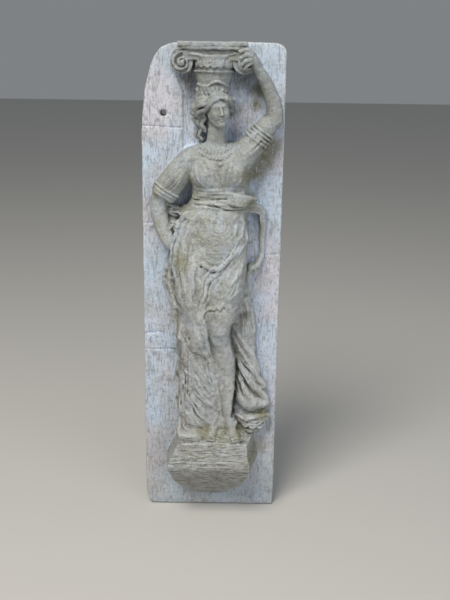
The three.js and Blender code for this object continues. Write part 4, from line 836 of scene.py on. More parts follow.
# The main folds, laid on the body one after the other: x, h and radius
mainFolds = {
    "sash": [
        [(-17, 318.2, 1.4), (-10.8, 320.6, 2), (-1.3, 323.8, 2.2), (8.3, 324.6, 2.3), (17.9, 323, 2.1),
         (30, 320, 1.8)],
        [(-17, 314.6, 1.8), (-7, 314.2, 2.5), (3.6, 314.4, 2.5), (12, 314, 2)],
        [(-16.7, 310.8, 1.4), (-7, 311, 1.8), (-1, 310, 1.6)],
        [(-3, 317, 1.4), (4.9, 313.4, 2.4), (12, 311, 2.6), (20, 310, 2.4), (30, 311.4, 1.8)],
        [(12, 319.6, 1.4), (20, 319.4, 2.2), (27, 318, 2.4)],
        [(14, 315.8, 1.3), (22, 314.8, 1.8), (30, 314.4, 1.6)],
    ],
    "hip": [
        [(-8, 269.4, 1), (-4.4, 264, 1.5), (4.2, 261.4, 1.7), (13, 265, 1.5), (20, 271.7, 1)],
        [(26.6, 305, 1.4), (30, 292, 2.2), (30.4, 282, 2.8), (26.6, 274.6, 3.2), (19, 266.4, 3.4),
         (11.6, 257.6, 3.2), (4, 249.6, 2.8), (-1.4, 240, 2)],
        [(-10, 262, 1.6), (-5.5, 258.6, 2.4), (0, 255.4, 2.7), (6.7, 256.6, 2.8), (13, 261.4, 2.4),
         (19, 268.4, 1.8)],
        [(-0.8, 249, 1.3), (-4.4, 241, 2), (-7.4, 229, 2.1), (-10, 217.4, 1.6)],
        [(5, 248, 1.3), (-0.6, 238, 2), (-5, 225, 2.1), (-8.8, 212, 1.8), (-9.4, 202, 1.4)],
        [(26.6, 303, 1.2), (28.8, 294.7, 1.8), (25.6, 285.6, 1.8), (22.4, 278.5, 1.2)],
        [(24, 298, 1), (21, 288, 1.5), (22.6, 281, 1)],
        [(10.6, 229.5, 1), (13.6, 235.7, 1.7), (20.4, 240.6, 1.3)],
        [(15, 225.5, 1), (19.8, 231.9, 1.6), (27, 235.9, 1.3)],
        [(29, 262, 1.2), (24.6, 252, 1.8), (18, 243, 1.8), (10, 236, 1.2)],
    ],
    "thigh": [
        [(-17.2, 272, 1.4), (-16.3, 257, 2.5), (-17, 242, 2.5), (-18.6, 230, 2), (-19, 214, 1.2)],
        [(-14, 303, 1.2), (-21.6, 288.8, 2.2), (-25, 271, 2.5), (-25.6, 256, 2.5), (-23.6, 238.3, 2.2),
         (-20, 219, 1.6)],
        [(-20, 303, 1.2), (-27, 288, 2.2), (-30.6, 271, 2.5), (-31.6, 255.5, 2.4), (-29.6, 240, 2.2),
         (-26, 222, 1.7)],
        [(-21, 308, 1.8), (-27, 298.6, 2.8), (-31.6, 288, 3), (-34, 275, 3), (-35, 262, 2.6),
         (-35.6, 250, 2)],
    ],
    "hem": [
        [(-9, 204, 1), (-8, 211, 1.3), (-5.6, 216.6, 1.4), (-2.6, 217, 1.1), (0.6, 219.4, 1.5),
         (3.4, 219.6, 1.1), (6, 222.4, 1.4), (9.6, 220.6, 1.2), (12, 224.4, 1.3), (15, 220.4, 1.1),
         (17.6, 221.4, 1.4), (20, 217.4, 1.1), (23.4, 218.6, 1.4), (26.4, 216, 1.2), (28, 208, 1.3)],
        [(-8.8, 217, 1.4), (-9.2, 208, 2.2), (-5.6, 193, 2.6), (-3.6, 181, 2.7), (0, 168.3, 2.7),
         (1.6, 155, 2.5), (3.6, 146, 2.5), (7.2, 135, 2.4), (8.2, 120, 2.2), (9.6, 105, 1.8)],
        [(-13.6, 212, 1.3), (-13.4, 198, 1.9), (-10.4, 186, 2), (-7, 177, 1.4)],
    ],
    "panel": [
        [(-17.8, 179.8, 1.2), (-11.2, 176.6, 2), (-3.6, 169.4, 2), (0, 164.7, 1.3)],
        [(-16.4, 169, 1.2), (-11.6, 156.6, 2.2), (-5, 146, 2.3), (1.4, 140, 1.6)],
        [(-16.8, 160, 1), (-13, 145, 1.7), (-6.6, 133.6, 1.9), (1, 127, 1.4)],
        [(-16, 150.4, 1.2), (-9, 131.5, 2.4), (-2.2, 121.4, 2.5), (6.6, 112, 1.8)],
        [(-15.6, 138, 1), (-11, 120.6, 1.8), (-5, 111, 1.9), (4, 103, 1.4)],
        [(-14.6, 129, 1.2), (-10.2, 116.6, 2.4), (-4.8, 105.4, 2.4), (3, 96.6, 1.7)],
        [(-16.3, 115, 1.2), (-12.6, 102.5, 2.2), (-7.2, 94.4, 1.9)],
        [(-17.9, 178.4, 1.4), (-17.4, 161.5, 2.2), (-16.8, 145.9, 2.2), (-15.6, 125.8, 2.1),
         (-16.6, 108.4, 2.1), (-16, 93.4, 1.7)],
    ],
    "leftSide": [
        [(-27.6, 203, 1.4), (-26.6, 188, 2.2), (-26.4, 176, 2.4), (-25.2, 159, 2.4), (-25.8, 138, 2.5),
         (-26, 114, 2.4), (-25, 92, 1.9)],
        [(-37.4, 214, 1.8), (-32.6, 198, 2.3), (-31, 177, 2.3), (-30, 156, 2.3), (-30.6, 134, 2.3),
         (-30.8, 119, 2.2), (-30.2, 104, 2.1), (-31, 89, 1.6)],
        [(-22.6, 196, 1.2), (-21.6, 178, 1.9), (-21, 156, 2), (-21.4, 134, 2), (-20.6, 112, 1.9),
         (-21, 94, 1.4)],
        [(-37, 262, 1.6), (-41, 247, 2.3), (-42.6, 239, 2.3), (-40.6, 231, 2.2), (-38, 222, 1.8),
         (-35, 212, 1.4)],
        [(-33, 248, 1.2), (-36.4, 238, 1.8), (-36, 228, 1.8), (-33.6, 216, 1.2)],
    ],
}


# short creases that cross from the left column to the skirt: x, h and how far they fall
crossFolds = [
    (-25, 190, 9), (-26, 172, 12), (-25, 158, 8), (-26.6, 146, 12), (-24.6, 131, 9), (-26, 120, 12),
    (-25, 108, 9), (-27, 99, 7),
]
unevenFolds = {"sway": 0.5, "leftSway": 1.5, "girth": 0.22, "seed": 44}


def layFolds(clay):
    rng = np.random.default_rng(unevenFolds["seed"])
    for name, rows in mainFolds.items():
        sway = unevenFolds["leftSway"] if name == "leftSide" else unevenFolds["sway"]
        for row in rows:
            line = smoothRows(row, 2)
            line = line + rng.uniform(-1, 1, (len(line), 3)) * [sway, sway, 0]
            line[:, 2] *= 1 + unevenFolds["girth"] * rng.uniform(-1, 1, len(line))
            clay.laid(line)
    for x, h, drop in crossFolds:
        lower = (x + 2.6 + rng.uniform(-0.8, 0.8), h - 0.35 * drop, 1.7)
        clay.laid([(x, h, 1), lower, (x + 4.4, h - 0.7 * drop, 1.8), (x + 8, h - drop, 1)],
            sink=0.2, blend=1.0)


def pushedAbout(sheet, shifts):
    # a front-plane sheet of values, moved about by shifts counted in grid steps
    columns = np.arange(sheet.shape[0])[:, None] + shifts[0]
    rows = np.arange(sheet.shape[1])[None, :] + shifts[1]
    i = np.clip(np.floor(columns).astype(int), 0, sheet.shape[0] - 2)
    j = np.clip(np.floor(rows).astype(int), 0, sheet.shape[1] - 2)
    u, v = (columns - i).astype(np.float32), (rows - j).astype(np.float32)
    near = (sheet[i, j] * (1 - u) + sheet[i + 1, j] * u) * (1 - v)
    return near + (sheet[i, j + 1] * (1 - u) + sheet[i + 1, j + 1] * u) * v


def handShifts(clay):
    # nothing laid by hand runs quite true: the cloth is pushed about a little in the front plane
    x, _, h = clay.axes
    plane = (len(x), len(h))
    half = panel["width"] / 2
    inCloth = np.clip((h - 88) / 6, 0, 1) * np.clip((322 - h) / 14, 0, 1)
    inside = np.clip((half - 6 - np.abs(x)) / 6, 0, 1)[:, None] * inCloth[None, :]
    leftColumn = np.clip((-17 - x) / 4, 0, 1)[:, None] * np.clip((205 - h) / 12, 0, 1)[None, :]
    pushes = [softNoise(plane, (17, 60), seed) + 0.5 * softNoise(plane, (40, 140),
        seed + 1) for seed in (61, 71)]
    return [push * (1.2 + 0.8 * leftColumn) * inside / clay.step for push in pushes]


def wander(clay):
    shifts = handShifts(clay)
    for level in range(clay.far.shape[1]):
        clay.far[:, level, :] = pushedAbout(clay.far[:, level, :], shifts)


def cutGaps(clay):
    clay.limb([(19.6, 24, 203, 0.8), (18.6, 22, 192, 1.5), (20, 20, 180, 1.5), (23.6, 18, 166, 1.4),
        (25.2, 18, 152, 1.5), (24.4, 18, 136, 1.7), (23, 18, 120, 1.9), (22, 18, 106, 1.9)], 1.0,
        flat=6, cut=True)
    x, h = slabForm["nailHole"]
    bore, dish = slabForm["bore"] / 2, slabForm["dish"]
    clay.form(lambda gx, gd, gh: np.hypot(gx - x, gh - h) - bore + 0 * gd, (x - 4, -30, h - 4),
        (x + 4, 4, h + 4), 0.5, cut=True)
    clay.egg((x, 1.2, h), (dish, 2.6, dish), 0.8, cut=True)


def evened(line, steps):
    # a line of x and h, met at even steps of its way
    way = np.linspace(0, 1, len(line))
    return np.stack([np.interp(steps, way, line[:, i]) for i in (0, 1)], 1)


class Strokes:
    # folds and strokes pressed into the front, as a relief height in the front plane

    def __init__(self, x, h):
        self.x, self.h = x, h
        self.step = float(x[1] - x[0])
        self.height = np.zeros((len(x), len(h)), np.float32)

    def fold(self, points, height, width, valley=0.6, fade=0.7):
        # a rounded crest with a sharper valley on its right-hand side
        line = smoothRows(points, 6)
        reach = 3.2 * width
        low = ((line.min(0) - reach - (self.x[0], self.h[0])) / self.step).astype(int).clip(0)
        high = ((line.max(0) + reach - (self.x[0], self.h[0])) / self.step).astype(int) + 2
        part = (slice(low[0], high[0]), slice(low[1], high[1]))
        gx, gh = self.x[part[0]][:, None], self.h[part[1]][None, :]
        if gx.size == 0 or gh.size == 0:
            return
        nearest = np.full((gx.size, gh.size), 1e9, np.float32)
        across = np.zeros_like(nearest)
        done = np.zeros_like(nearest)
        count = len(line) - 1
        for i in range(count):
            a, ab = line[i], line[i + 1] - line[i]
            size = max(float(np.hypot(*ab)), 1e-6)
            px, ph = gx - a[0], gh - a[1]
            t = np.clip((px * ab[0] + ph * ab[1]) / size**2, 0, 1)
            away = np.hypot(px - t * ab[0], ph - t * ab[1])
            closer = away < nearest
            nearest = np.where(closer, away, nearest)
            across = np.where(closer, (px * ab[1] - ph * ab[0]) / size, across)
            done = np.where(closer, (i + t) / count, done)
        side = np.where(across >= 0, nearest, -nearest)
        crest = np.exp(-1.6 * (nearest / width) ** 2)
        groove = np.exp(-((side - 1.45 * width) / max(0.55 * width, 0.8)) ** 2)
        ends = np.sin(math.pi * done.clip(0.001, 0.999)) ** fade
        self.height[part] += height * ends * (crest - valley * groove)

    def fan(self, first, last, count, height, width, seed, valley=0.6):
        # folds that pass gradually from one line to another
        rng = np.random.default_rng(seed)
        first, last = smoothRows(first, 3), smoothRows(last, 3)
        steps = np.linspace(0, 1, max(len(first), len(last)))
        first, last = evened(first, steps), evened(last, steps)
        for i in range(count):
            t = (i + rng.uniform(-0.38, 0.38)) / max(count - 1, 1)
            line = first * (1 - t) + last * t
            wobble = evened(smoothRows(rng.uniform(-0.5, 0.5, (4, 2)), 8), steps)
            a, b = rng.uniform(0, 0.34, 2)
            kept = (line + 1.6 * wobble)[int(a * len(line)):len(line) - int(b * len(line))][::2]
            if len(kept) > 2:
                self.fold(kept, height * rng.uniform(0.4, 1.2), width * rng.uniform(0.7, 1.35), valley)


# strokes that press fine folds: a fan's first and last line, how many, height, width, seed and valley;
# a fold's line, height, width, valley and how its ends fade
foldStrokes = {
    "squiggles": {"seed": 52, "count": 26, "x": (-34, -19), "h": (92, 196)},
    "sash": [
        # fine creases in the sash
        ("fan", [(-19, 314.5), (-8, 312.5), (4, 311.5), (16, 311), (28, 313)], [(-19, 327), (-8, 325.4),
         (5, 325.6), (18, 326.4), (30, 325.6)], 8, 0.6, 1, 11),
    ],
    "swirl": [
        (3, 0.4, 5.8, 0.34), (5.6, -2.6, 2.2, 0.34), (8.4, -2.3, 0.9, 0.28), (11.6, -1.9, 0.4, 0.28),
        (15, -1.4, 0.6, 0.3),
    ],
    "bellyAndHips": [
        ("fan", [(6, 311), (-5, 305), (-14, 296), (-20, 284)], [(-12, 312), (-20, 304), (-26, 292),
         (-29, 278)], 7, 0.5, 1, 12),
        ("fan", [(-10, 280), (3, 281), (16, 281)], [(-8, 266.5), (3, 267.5), (15, 268)], 7, 0.34, 1, 13),
        # over the right hip and across the thighs
        ("fan", [(29, 300), (32.4, 288), (31, 277), (22, 264), (12, 253), (3, 241), (-2, 228)], [(23, 285),
         (17, 274), (9, 265), (1, 256), (-6, 247), (-8, 236), (-8.4, 224)], 7, 0.7, 1.1, 14),
        ("fan", [(20, 262), (12, 250), (5, 239), (1, 226)], [(31, 262), (27, 247), (22, 234), (17, 225)],
         6, 0.6, 1.2, 15),
        ("fold", [(9.6, 230.6), (12.8, 235.6), (17.4, 240.4)], 0.8, 1.1),
        ("fold", [(14, 227), (17.4, 232.6), (21.6, 238)], 0.7, 1.1),
        ("fan", [(-11, 277), (-13, 264), (-14.4, 250), (-15, 235), (-12.6, 219)], [(-22, 291), (-29, 273),
         (-31, 254), (-29.6, 236), (-26, 216)], 8, 0.7, 1.1, 16),
        ("fan", [(-25, 295), (-31.5, 280), (-34, 262), (-34, 244)], [(-30, 292), (-35.5, 278), (-37.6, 262),
         (-39, 248)], 3, 0.7, 1.1, 17),
        ("fan", [(-35, 258), (-38, 245), (-38.4, 232), (-34, 218)], [(-38, 256), (-43, 243), (-43.6, 232),
         (-39, 219)], 4, 0.9, 1, 18),
    ],
    "grooves": [
        ([(-17, 312.6), (-7, 312.9), (3, 311)], 0.9, 0.8),
        ([(-16.7, 316.6), (-7, 317), (3.6, 318), (13, 318.4)], 1, 0.8),
        ([(10, 317.6), (16, 317.4), (22, 316.8)], 0.7, 0.8),
        ([(0.1, 314.4), (5, 311.4), (12, 308.6), (20, 307.8), (30, 308.6)], 1.1, 0.9),
        ([(-9.5, 257.4), (-7.6, 256)], 1.6, 1.2),
        ([(-5.5, 256.2), (-0.6, 252.2), (6.7, 253.6), (14, 258.8), (20, 265.6)], 1.3, 0.9),
        ([(26, 271.4), (18.8, 263), (9.2, 251.8), (1.8, 245), (-2.6, 236)], 1.1, 0.9),
        ([(-2.4, 249), (-6, 240), (-9, 229), (-12, 218)], 0.9, 0.9),
        ([(2, 246), (-2.4, 236), (-6.6, 223)], 0.9, 0.9),
        ([(-9, 202), (-6.8, 209.4), (-4, 214), (0.4, 216.6), (3.4, 216.8), (6, 219.4), (9.4, 217.6),
         (11.8, 221.2), (14.6, 217.4), (19.6, 214.6)], 0.8, 0.75),
        ([(-1, 193), (-0.4, 181), (3, 169), (4.6, 155), (6.4, 146), (9.6, 135), (10.8, 120),
         (12, 106)], 0.5, 0.8),
    ],
    "skirt": [
        # skirt beside the bare leg and over the covered shin
        ("fan", [(-8, 213), (-6.6, 200), (-5.4, 189), (-5, 179), (-1, 169), (1.2, 157), (3, 146),
         (5.2, 134), (7.4, 122), (7.6, 108)], [(-14, 211), (-12, 199), (-10.8, 188), (-10.4, 177),
         (-6, 168), (-3.6, 156), (-2, 146), (0, 134), (1.6, 122), (1.4, 107)], 5, 0.7, 1, 19, 0.9),
        ("fan", [(-14, 174), (-8.5, 160), (-2, 150), (2.4, 143)], [(-19, 114), (-15, 103), (-10, 96),
         (-4, 92)], 13, 0.75, 1, 20, 0.9),
        # long folds at the left
        ("fan", [(-38, 213), (-34, 200), (-33, 182), (-32.4, 155), (-33, 124), (-32.4, 95)], [(-27.6, 205),
         (-23, 188), (-20.4, 170), (-19.6, 142), (-20, 116), (-20.6, 94)], 10, 0.8, 1, 21, 0.9),
    ],
    "upperAndRight": [
        # cloth behind the bare leg
        ("fan", [(26, 223), (27.6, 208), (28, 192), (31, 178)], [(33, 222), (34.4, 206), (35, 190),
         (38.6, 172)], 4, 0.9, 1.2, 22, 0.9),
        ("fan", [(37, 214), (40, 200), (40.6, 184), (40.6, 168)], [(34, 240), (37, 226), (40.4, 206),
         (42, 182)], 3, 0.7, 1, 23),
        ("fan", [(19.6, 196), (26, 186), (34, 175), (41, 166)], [(25, 156), (31, 144), (39.6, 132),
         (51, 120)], 14, 0.8, 0.9, 24, 0.9),
        ("fan", [(24.6, 146), (27.6, 130), (32, 118)], [(43, 154), (47.6, 139), (53, 126)], 9, 0.7, 0.9,
         25, 0.9),
        ("fan", [(27, 112), (36, 108), (46, 108), (54, 112)], [(29, 92), (37, 89), (45, 90), (53, 97)], 9,
         0.7, 1, 26, 0.9),
        # bodice
        ("fold", [(-18, 353), (-9, 349.4), (0, 346), (8, 345.4), (15, 348.6), (23, 354)], 0.3, 1.1, 0.5),
        ("fold", [(-12, 357.6), (-7, 354.4), (0, 352.2), (7, 351.6), (12, 353), (17, 357)], -0.6, 0.8,
         0, 0.4),
        ("fold", [(-13, 362.6), (-7, 358.6), (1, 356.8), (8, 357), (15.6, 360.4)], -0.6, 0.7, 0, 0.4),
        ("fan", [(-17, 350), (-16.6, 339), (-12, 331), (-6, 326)], [(-11, 348), (-8, 337), (-3, 331),
         (2, 327.6)], 5, 0.5, 1.2, 27),
        ("fan", [(28, 350), (29, 340), (25, 331), (18, 326.6)], [(14, 350), (10, 340), (9, 333), (9, 328)],
         5, 0.5, 1.2, 28),
        # sleeves
        ("fan", [(-19, 355), (-24, 349), (-34, 338), (-46, 330)], [(-22, 342), (-27, 334), (-33, 325),
         (-38, 316)], 8, 0.9, 1.2, 29),
        ("fan", [(22, 361), (30, 367), (36, 374), (41, 380)], [(34, 350), (40, 357), (46, 364), (50, 370)],
         7, 0.7, 1.2, 30),
        # cloth bunched inside the bent arm
        ("fan", [(-41, 311), (-35, 309), (-27, 311)], [(-39, 296), (-33, 294), (-27, 298)], 6, 0.8, 1, 31),
    ],
}


def pressFolds(strokes):
    fold = strokes.fold
    build(strokes, foldStrokes["sash"])
    # swirl over the belly
    for reach, start, end, height in foldStrokes["swirl"]:
        turn = np.linspace(start, end, 9)
        sway = reach * (1 + 0.07 * np.sin(3 * turn + reach))
        fold(np.stack([7.2 + sway * np.cos(turn), 295.4 + sway * np.sin(turn)], 1), height, 0.95)
    build(strokes, foldStrokes["bellyAndHips"])
    # grooves that part the main folds
    for points, depth, width in foldStrokes["grooves"]:
        fold(points, -depth, width, 0, 0.4)
    build(strokes, foldStrokes["skirt"])
    # squiggles down the left column
    squiggles = foldStrokes["squiggles"]
    rng = np.random.default_rng(squiggles["seed"])
    for i in range(squiggles["count"]):
        x0, h0 = rng.uniform(*squiggles["x"]), rng.uniform(*squiggles["h"])
        steps = np.arange(5)
        line = np.stack([x0 + rng.uniform(-1.6, 1.6, 5) + 0.5 * steps,
            h0 + rng.uniform(2.2, 4) * (steps - 2)], 1)
        fold(line, rng.uniform(0.4, 0.8), rng.uniform(0.9, 1.3), 0.4)
    build(strokes, foldStrokes["upperAndRight"])


# age has softened the folds unevenly and left the hand-worked surface lumpy
weathering = {
    "folds": (1.1, 0.55),      # how strong they are, and how much that varies
    "foldCells": (16, 56),
    "foldSeed": 40,
    "lumps": [((14, 48), 41, 0.4), ((32, 110), 42, 0.42), ((62, 200), 43, 0.34), ((110, 380), 44, 0.2)],
    "onFace": 0.15,            # what is left of the lumps there
}


def modelRelief():
    reach = 2.0
    half = panel["width"] / 2
    clay = Clay((-half - reach, -panel["thick"] - reach, -reach),
        (half + reach, panel["depth"] - panel["thick"] + reach, panel["height"] + reach), panel["grain"])
    for make in (makeSlab, makeBracket, makeCapital, makeBody, makeLegs, makeCloth, hollowCloth, layFolds,
            makeArms, wander, makeHead, cutGaps):
        make(clay)
    print("forms pressed")
    x, d, h = clay.axes
    strokes = Strokes(x, h)
    pressFolds(strokes)
    strokes.height = pushedAbout(strokes.height, handShifts(clay))
    plane = strokes.height.shape
    kept, varied = weathering["folds"]
    kept = kept + varied * softNoise(plane, weathering["foldCells"], weathering["foldSeed"])
    lumps = lumpy(plane, weathering["lumps"])
    faceX, _, faceH = headForm["middle"]
    face = np.hypot((x[:, None] - faceX) / 8.4, (h[None, :] - faceH + 4) / 12)
    lumps *= weathering["onFace"] + (1 - weathering["onFace"]) * np.clip((face - 0.9) / 0.5, 0, 1)
    out = np.clip((d - 2.5) / 3, 0, 1)[None, :, None]
    clay.far -= (strokes.height * kept + lumps)[:, None, :] * out
    # nothing stands outside the slab's own box
    limits = [(-half, half), (-panel["thick"], panel["depth"] - panel["thick"]), (0, panel["height"])]
    for axis, (low, high) in zip((x[:, None, None], d[None, :, None], h[None, None, :]), limits):
        clay.far[...] = np.maximum(clay.far, np.maximum(low - axis, axis - high))
    print("folds pressed")
    return clay


def surfaceOf(clay):
    grid = openvdb.FloatGrid(background=3.0)
    grid.copyFromArray(np.clip(clay.far, -3, 3).astype(np.float32))
    points, _, quads = grid.convertToPolygons(isovalue=0.0, adaptivity=0.0)
    points = points * clay.step + clay.low
    place = np.stack([points[:, 0], -(points[:, 1] + panel["thick"]),
        points[:, 2] - panel["height"] / 2], 1) * mm
    mesh = bpy.data.meshes.new("reliefCast")
    corners = np.ascontiguousarray(quads[:, ::-1]).astype(np.int32)
    mesh.vertices.add(len(place))
    mesh.vertices.foreach_set("co", place.astype(np.float32).ravel())
    mesh.loops.add(corners.size)
    mesh.loops.foreach_set("vertex_index", corners.ravel())
    mesh.polygons.add(len(corners))
    mesh.polygons.foreach_set("loop_start", np.arange(0, corners.size, 4, dtype=np.int32))
    mesh.update(calc_edges=True)
    mesh.validate()
    print("surface of", len(corners), "faces")
    return mesh


def link(obj):
    bpy.context.scene.collection.objects.link(obj)
    return obj


def plainMesh(obj, name):
    # the evaluated object as a smooth mesh of its own, with no modifier left
    graph = bpy.context.evaluated_depsgraph_get()
    mesh = bpy.data.meshes.new_from_object(obj.evaluated_get(graph))
    bpy.data.objects.remove(obj)
    mesh.name = name
    mesh.polygons.foreach_set("use_smooth", np.ones(len(mesh.polygons), bool))
    return link(bpy.data.objects.new(name, mesh))


clay = modelRelief()
relief = link(bpy.data.objects.new("reliefDraft", surfaceOf(clay)))
thin = relief.modifiers.new("fewer faces", "DECIMATE")
thin.ratio = min(1.0, panel["faces"] / (2 * len(relief.data.polygons)))
relief = plainMesh(relief, "caryatidCast")
print("relief has", len(relief.data.polygons), "faces")


def boxBlur(values, size):
    # mean over a cube, one axis after the other
    for axis in range(3):
        total = np.cumsum(values, axis, dtype=np.float32)
        values = (np.roll(total, -size, axis) - np.roll(total, size, axis)) / (2 * size)
    return values


def sampled(values, at):
    # trilinear values of the clay's grid at points
    low = np.clip(np.floor(at).astype(int), 0, np.array(values.shape) - 2)
    shares = (1 - (at - low), at - low)
    out = 0
    for i in (0, 1):
        for j in (0, 1):
            for k in (0, 1):
                weight = shares[i][:, 0] * shares[j][:, 1] * shares[k][:, 2]
                out = out + weight * values[low[:, 0] + i, low[:, 1] + j, low[:, 2] + k]
    return out


def keepAttribute(mesh, name, values):
    attribute = mesh.attributes.new(name, "FLOAT", "POINT")
    attribute.data.foreach_set("value", np.asarray(values, np.float32))


def markHollows(obj, clay):
    # how deep in a hollow each point lies, close by and further round it
    place = np.empty(3 * len(obj.data.vertices), np.float32)
    obj.data.vertices.foreach_get("co", place)
    place = place.reshape(-1, 3) / mm
    rows = np.stack([place[:, 0], -place[:, 1] - panel["thick"], place[:, 2] + panel["height"] / 2], 1)
    at = (rows - clay.low) / clay.step
    solid = np.clip(0.5 - clay.far / (2 * clay.step), 0, 1).astype(np.float32)
    for name, size in (("hollowNear", 1.6), ("hollowWide", 5.5)):
        cells = max(1, round(size / clay.step))
        padded = np.pad(solid, cells + 1, mode="edge")
        blurred = boxBlur(padded, cells)[cells + 1:-cells - 1, cells + 1:-cells - 1, cells + 1:-cells - 1]
        keepAttribute(obj.data, name, sampled(blurred, at))
    keepAttribute(obj.data, "standOut", rows[:, 1])


# Small things that repeat along a path: the petals and beads of the collar, the beads round the capital.
# A path is x and h on the front; sizes are in mm
beadRows = {
    "collarPetals": {
        "path": [(-13, 363.6), (-7, 360.4), (1, 358.8), (8, 359), (15.6, 362.4)],
        "spacing": 3.1, "bead": 1.3, "tall": 2.0, "sink": -0.1, "seed": 4,
    },
    "collarBeads": {
        "path": [(-11.4, 358.6), (-6, 355.4), (0.6, 353.8), (6.4, 353.4), (11.4, 354.6), (16, 358)],
        "spacing": 2.8, "bead": 1.3, "tall": 1.0, "sink": -0.1, "seed": 9,
    },
    "capitalBeads": {
        "path": [(-15.6, 427.4), (-8, 427.2), (0, 427), (8, 427.2), (16, 427.4)],
        "spacing": 2.1, "bead": 0.9, "tall": 0.9, "sink": 0.3, "seed": 2,
    },
}


def beadTree():
    # points along a curve, each with a small ball of slightly different size
    tree = bpy.data.node_groups.new("beadsAlongPath", "GeometryNodeTree")
    for name, kind in (("Geometry", "Geometry"), ("Spacing", "Float"), ("Bead", "Float"), ("Tall", "Float"),
                       ("Seed", "Int"), ("Material", "Material")):
        tree.interface.new_socket(name, in_out="INPUT", socket_type="NodeSocket" + kind)
    tree.interface.new_socket("Geometry", in_out="OUTPUT", socket_type="NodeSocketGeometry")
    given = addNode(tree, "NodeGroupInput").outputs
    curve = addNode(tree, "GeometryNodeMeshToCurve", {"Mesh": given["Geometry"]}).outputs[0]
    points = addNode(tree, "GeometryNodeResampleCurve", {"Curve": curve, "Length": given["Spacing"]},
        mode="LENGTH").outputs[0]
    ball = addNode(tree, "GeometryNodeMeshIcoSphere", {"Radius": given["Bead"],
        "Subdivisions": 2}).outputs[0]
    uneven = addNode(tree, "FunctionNodeRandomValue", {
        "Min": (0.82, 0.82, 0.82), "Max": (1.15, 1.1, 1.15), "Seed": given["Seed"]},
        data_type="FLOAT_VECTOR").outputs[0]
    stretch = addNode(tree, "ShaderNodeCombineXYZ", {"X": 1.0, "Y": 1.0, "Z": given["Tall"]}).outputs[0]
    size = addNode(tree, "ShaderNodeVectorMath", {0: uneven, 1: stretch}, operation="MULTIPLY").outputs[0]
    balls = addNode(tree, "GeometryNodeInstanceOnPoints",
        {"Points": points, "Instance": ball, "Scale": size}).outputs[0]
    real = addNode(tree, "GeometryNodeRealizeInstances", {"Geometry": balls}).outputs[0]
    done = addNode(tree, "GeometryNodeSetMaterial", {"Geometry": real,
        "Material": given["Material"]}).outputs[0]
    addNode(tree, "NodeGroupOutput", {"Geometry": done})
    return tree


def makeBeads(name, row, tree, clay, material):
    line = smoothRows(row["path"], 6)
    rows = [(x, clay.surfaceAt(x, h) - row["sink"] * row["bead"], h) for x, h in line]
    place = [(x * mm, -(d + panel["thick"]) * mm, (h - panel["height"] / 2) * mm) for x, d, h in rows]
    mesh = bpy.data.meshes.new(name)
    mesh.from_pydata(place, [(i, i + 1) for i in range(len(place) - 1)], [])
    draft = link(bpy.data.objects.new(name + "Path", mesh))
    beads = draft.modifiers.new("beads", "NODES")
    beads.node_group = tree
    names = {item.name: item.identifier for item in tree.interface.items_tree if item.in_out == "INPUT"}
    for key, value in (("Spacing", row["spacing"] * mm), ("Bead", row["bead"] * mm), ("Tall", row["tall"]),
                       ("Seed", row["seed"]), ("Material", material)):
        beads[names[key]] = value
    made = plainMesh(draft, name)
    markHollows(made, clay)
    return made


markHollows(relief, clay)
print("hollows marked")


def linear(code):
    # an sRGB hex colour as linear RGBA
    parts = [int(code[i:i + 2], 16) / 255 for i in (1, 3, 5)]
    return tuple(c / 12.92 if c <= 0.04045 else ((c + 0.055) / 1.055) ** 2.4 for c in parts) + (1.0,)


def addNode(tree, kind, inputs=None, stops=(), **settings):
    # a node with its settings, its inputs as values or links, and its ramp's stops of place and grey
    new = tree.nodes.new(kind)
    for key, value in settings.items():
        setattr(new, key, value)
    for key, value in (inputs or {}).items():
        if isinstance(value, bpy.types.NodeSocket):
            tree.links.new(value, new.inputs[key])
        else:
            new.inputs[key].default_value = value
    while stops and len(new.color_ramp.elements) < len(stops):
        new.color_ramp.elements.new(0.5)
    for i, (place, grey) in enumerate(stops):
        new.color_ramp.elements[i].position = place
        new.color_ramp.elements[i].color = (grey, grey, grey, 1)
    return new


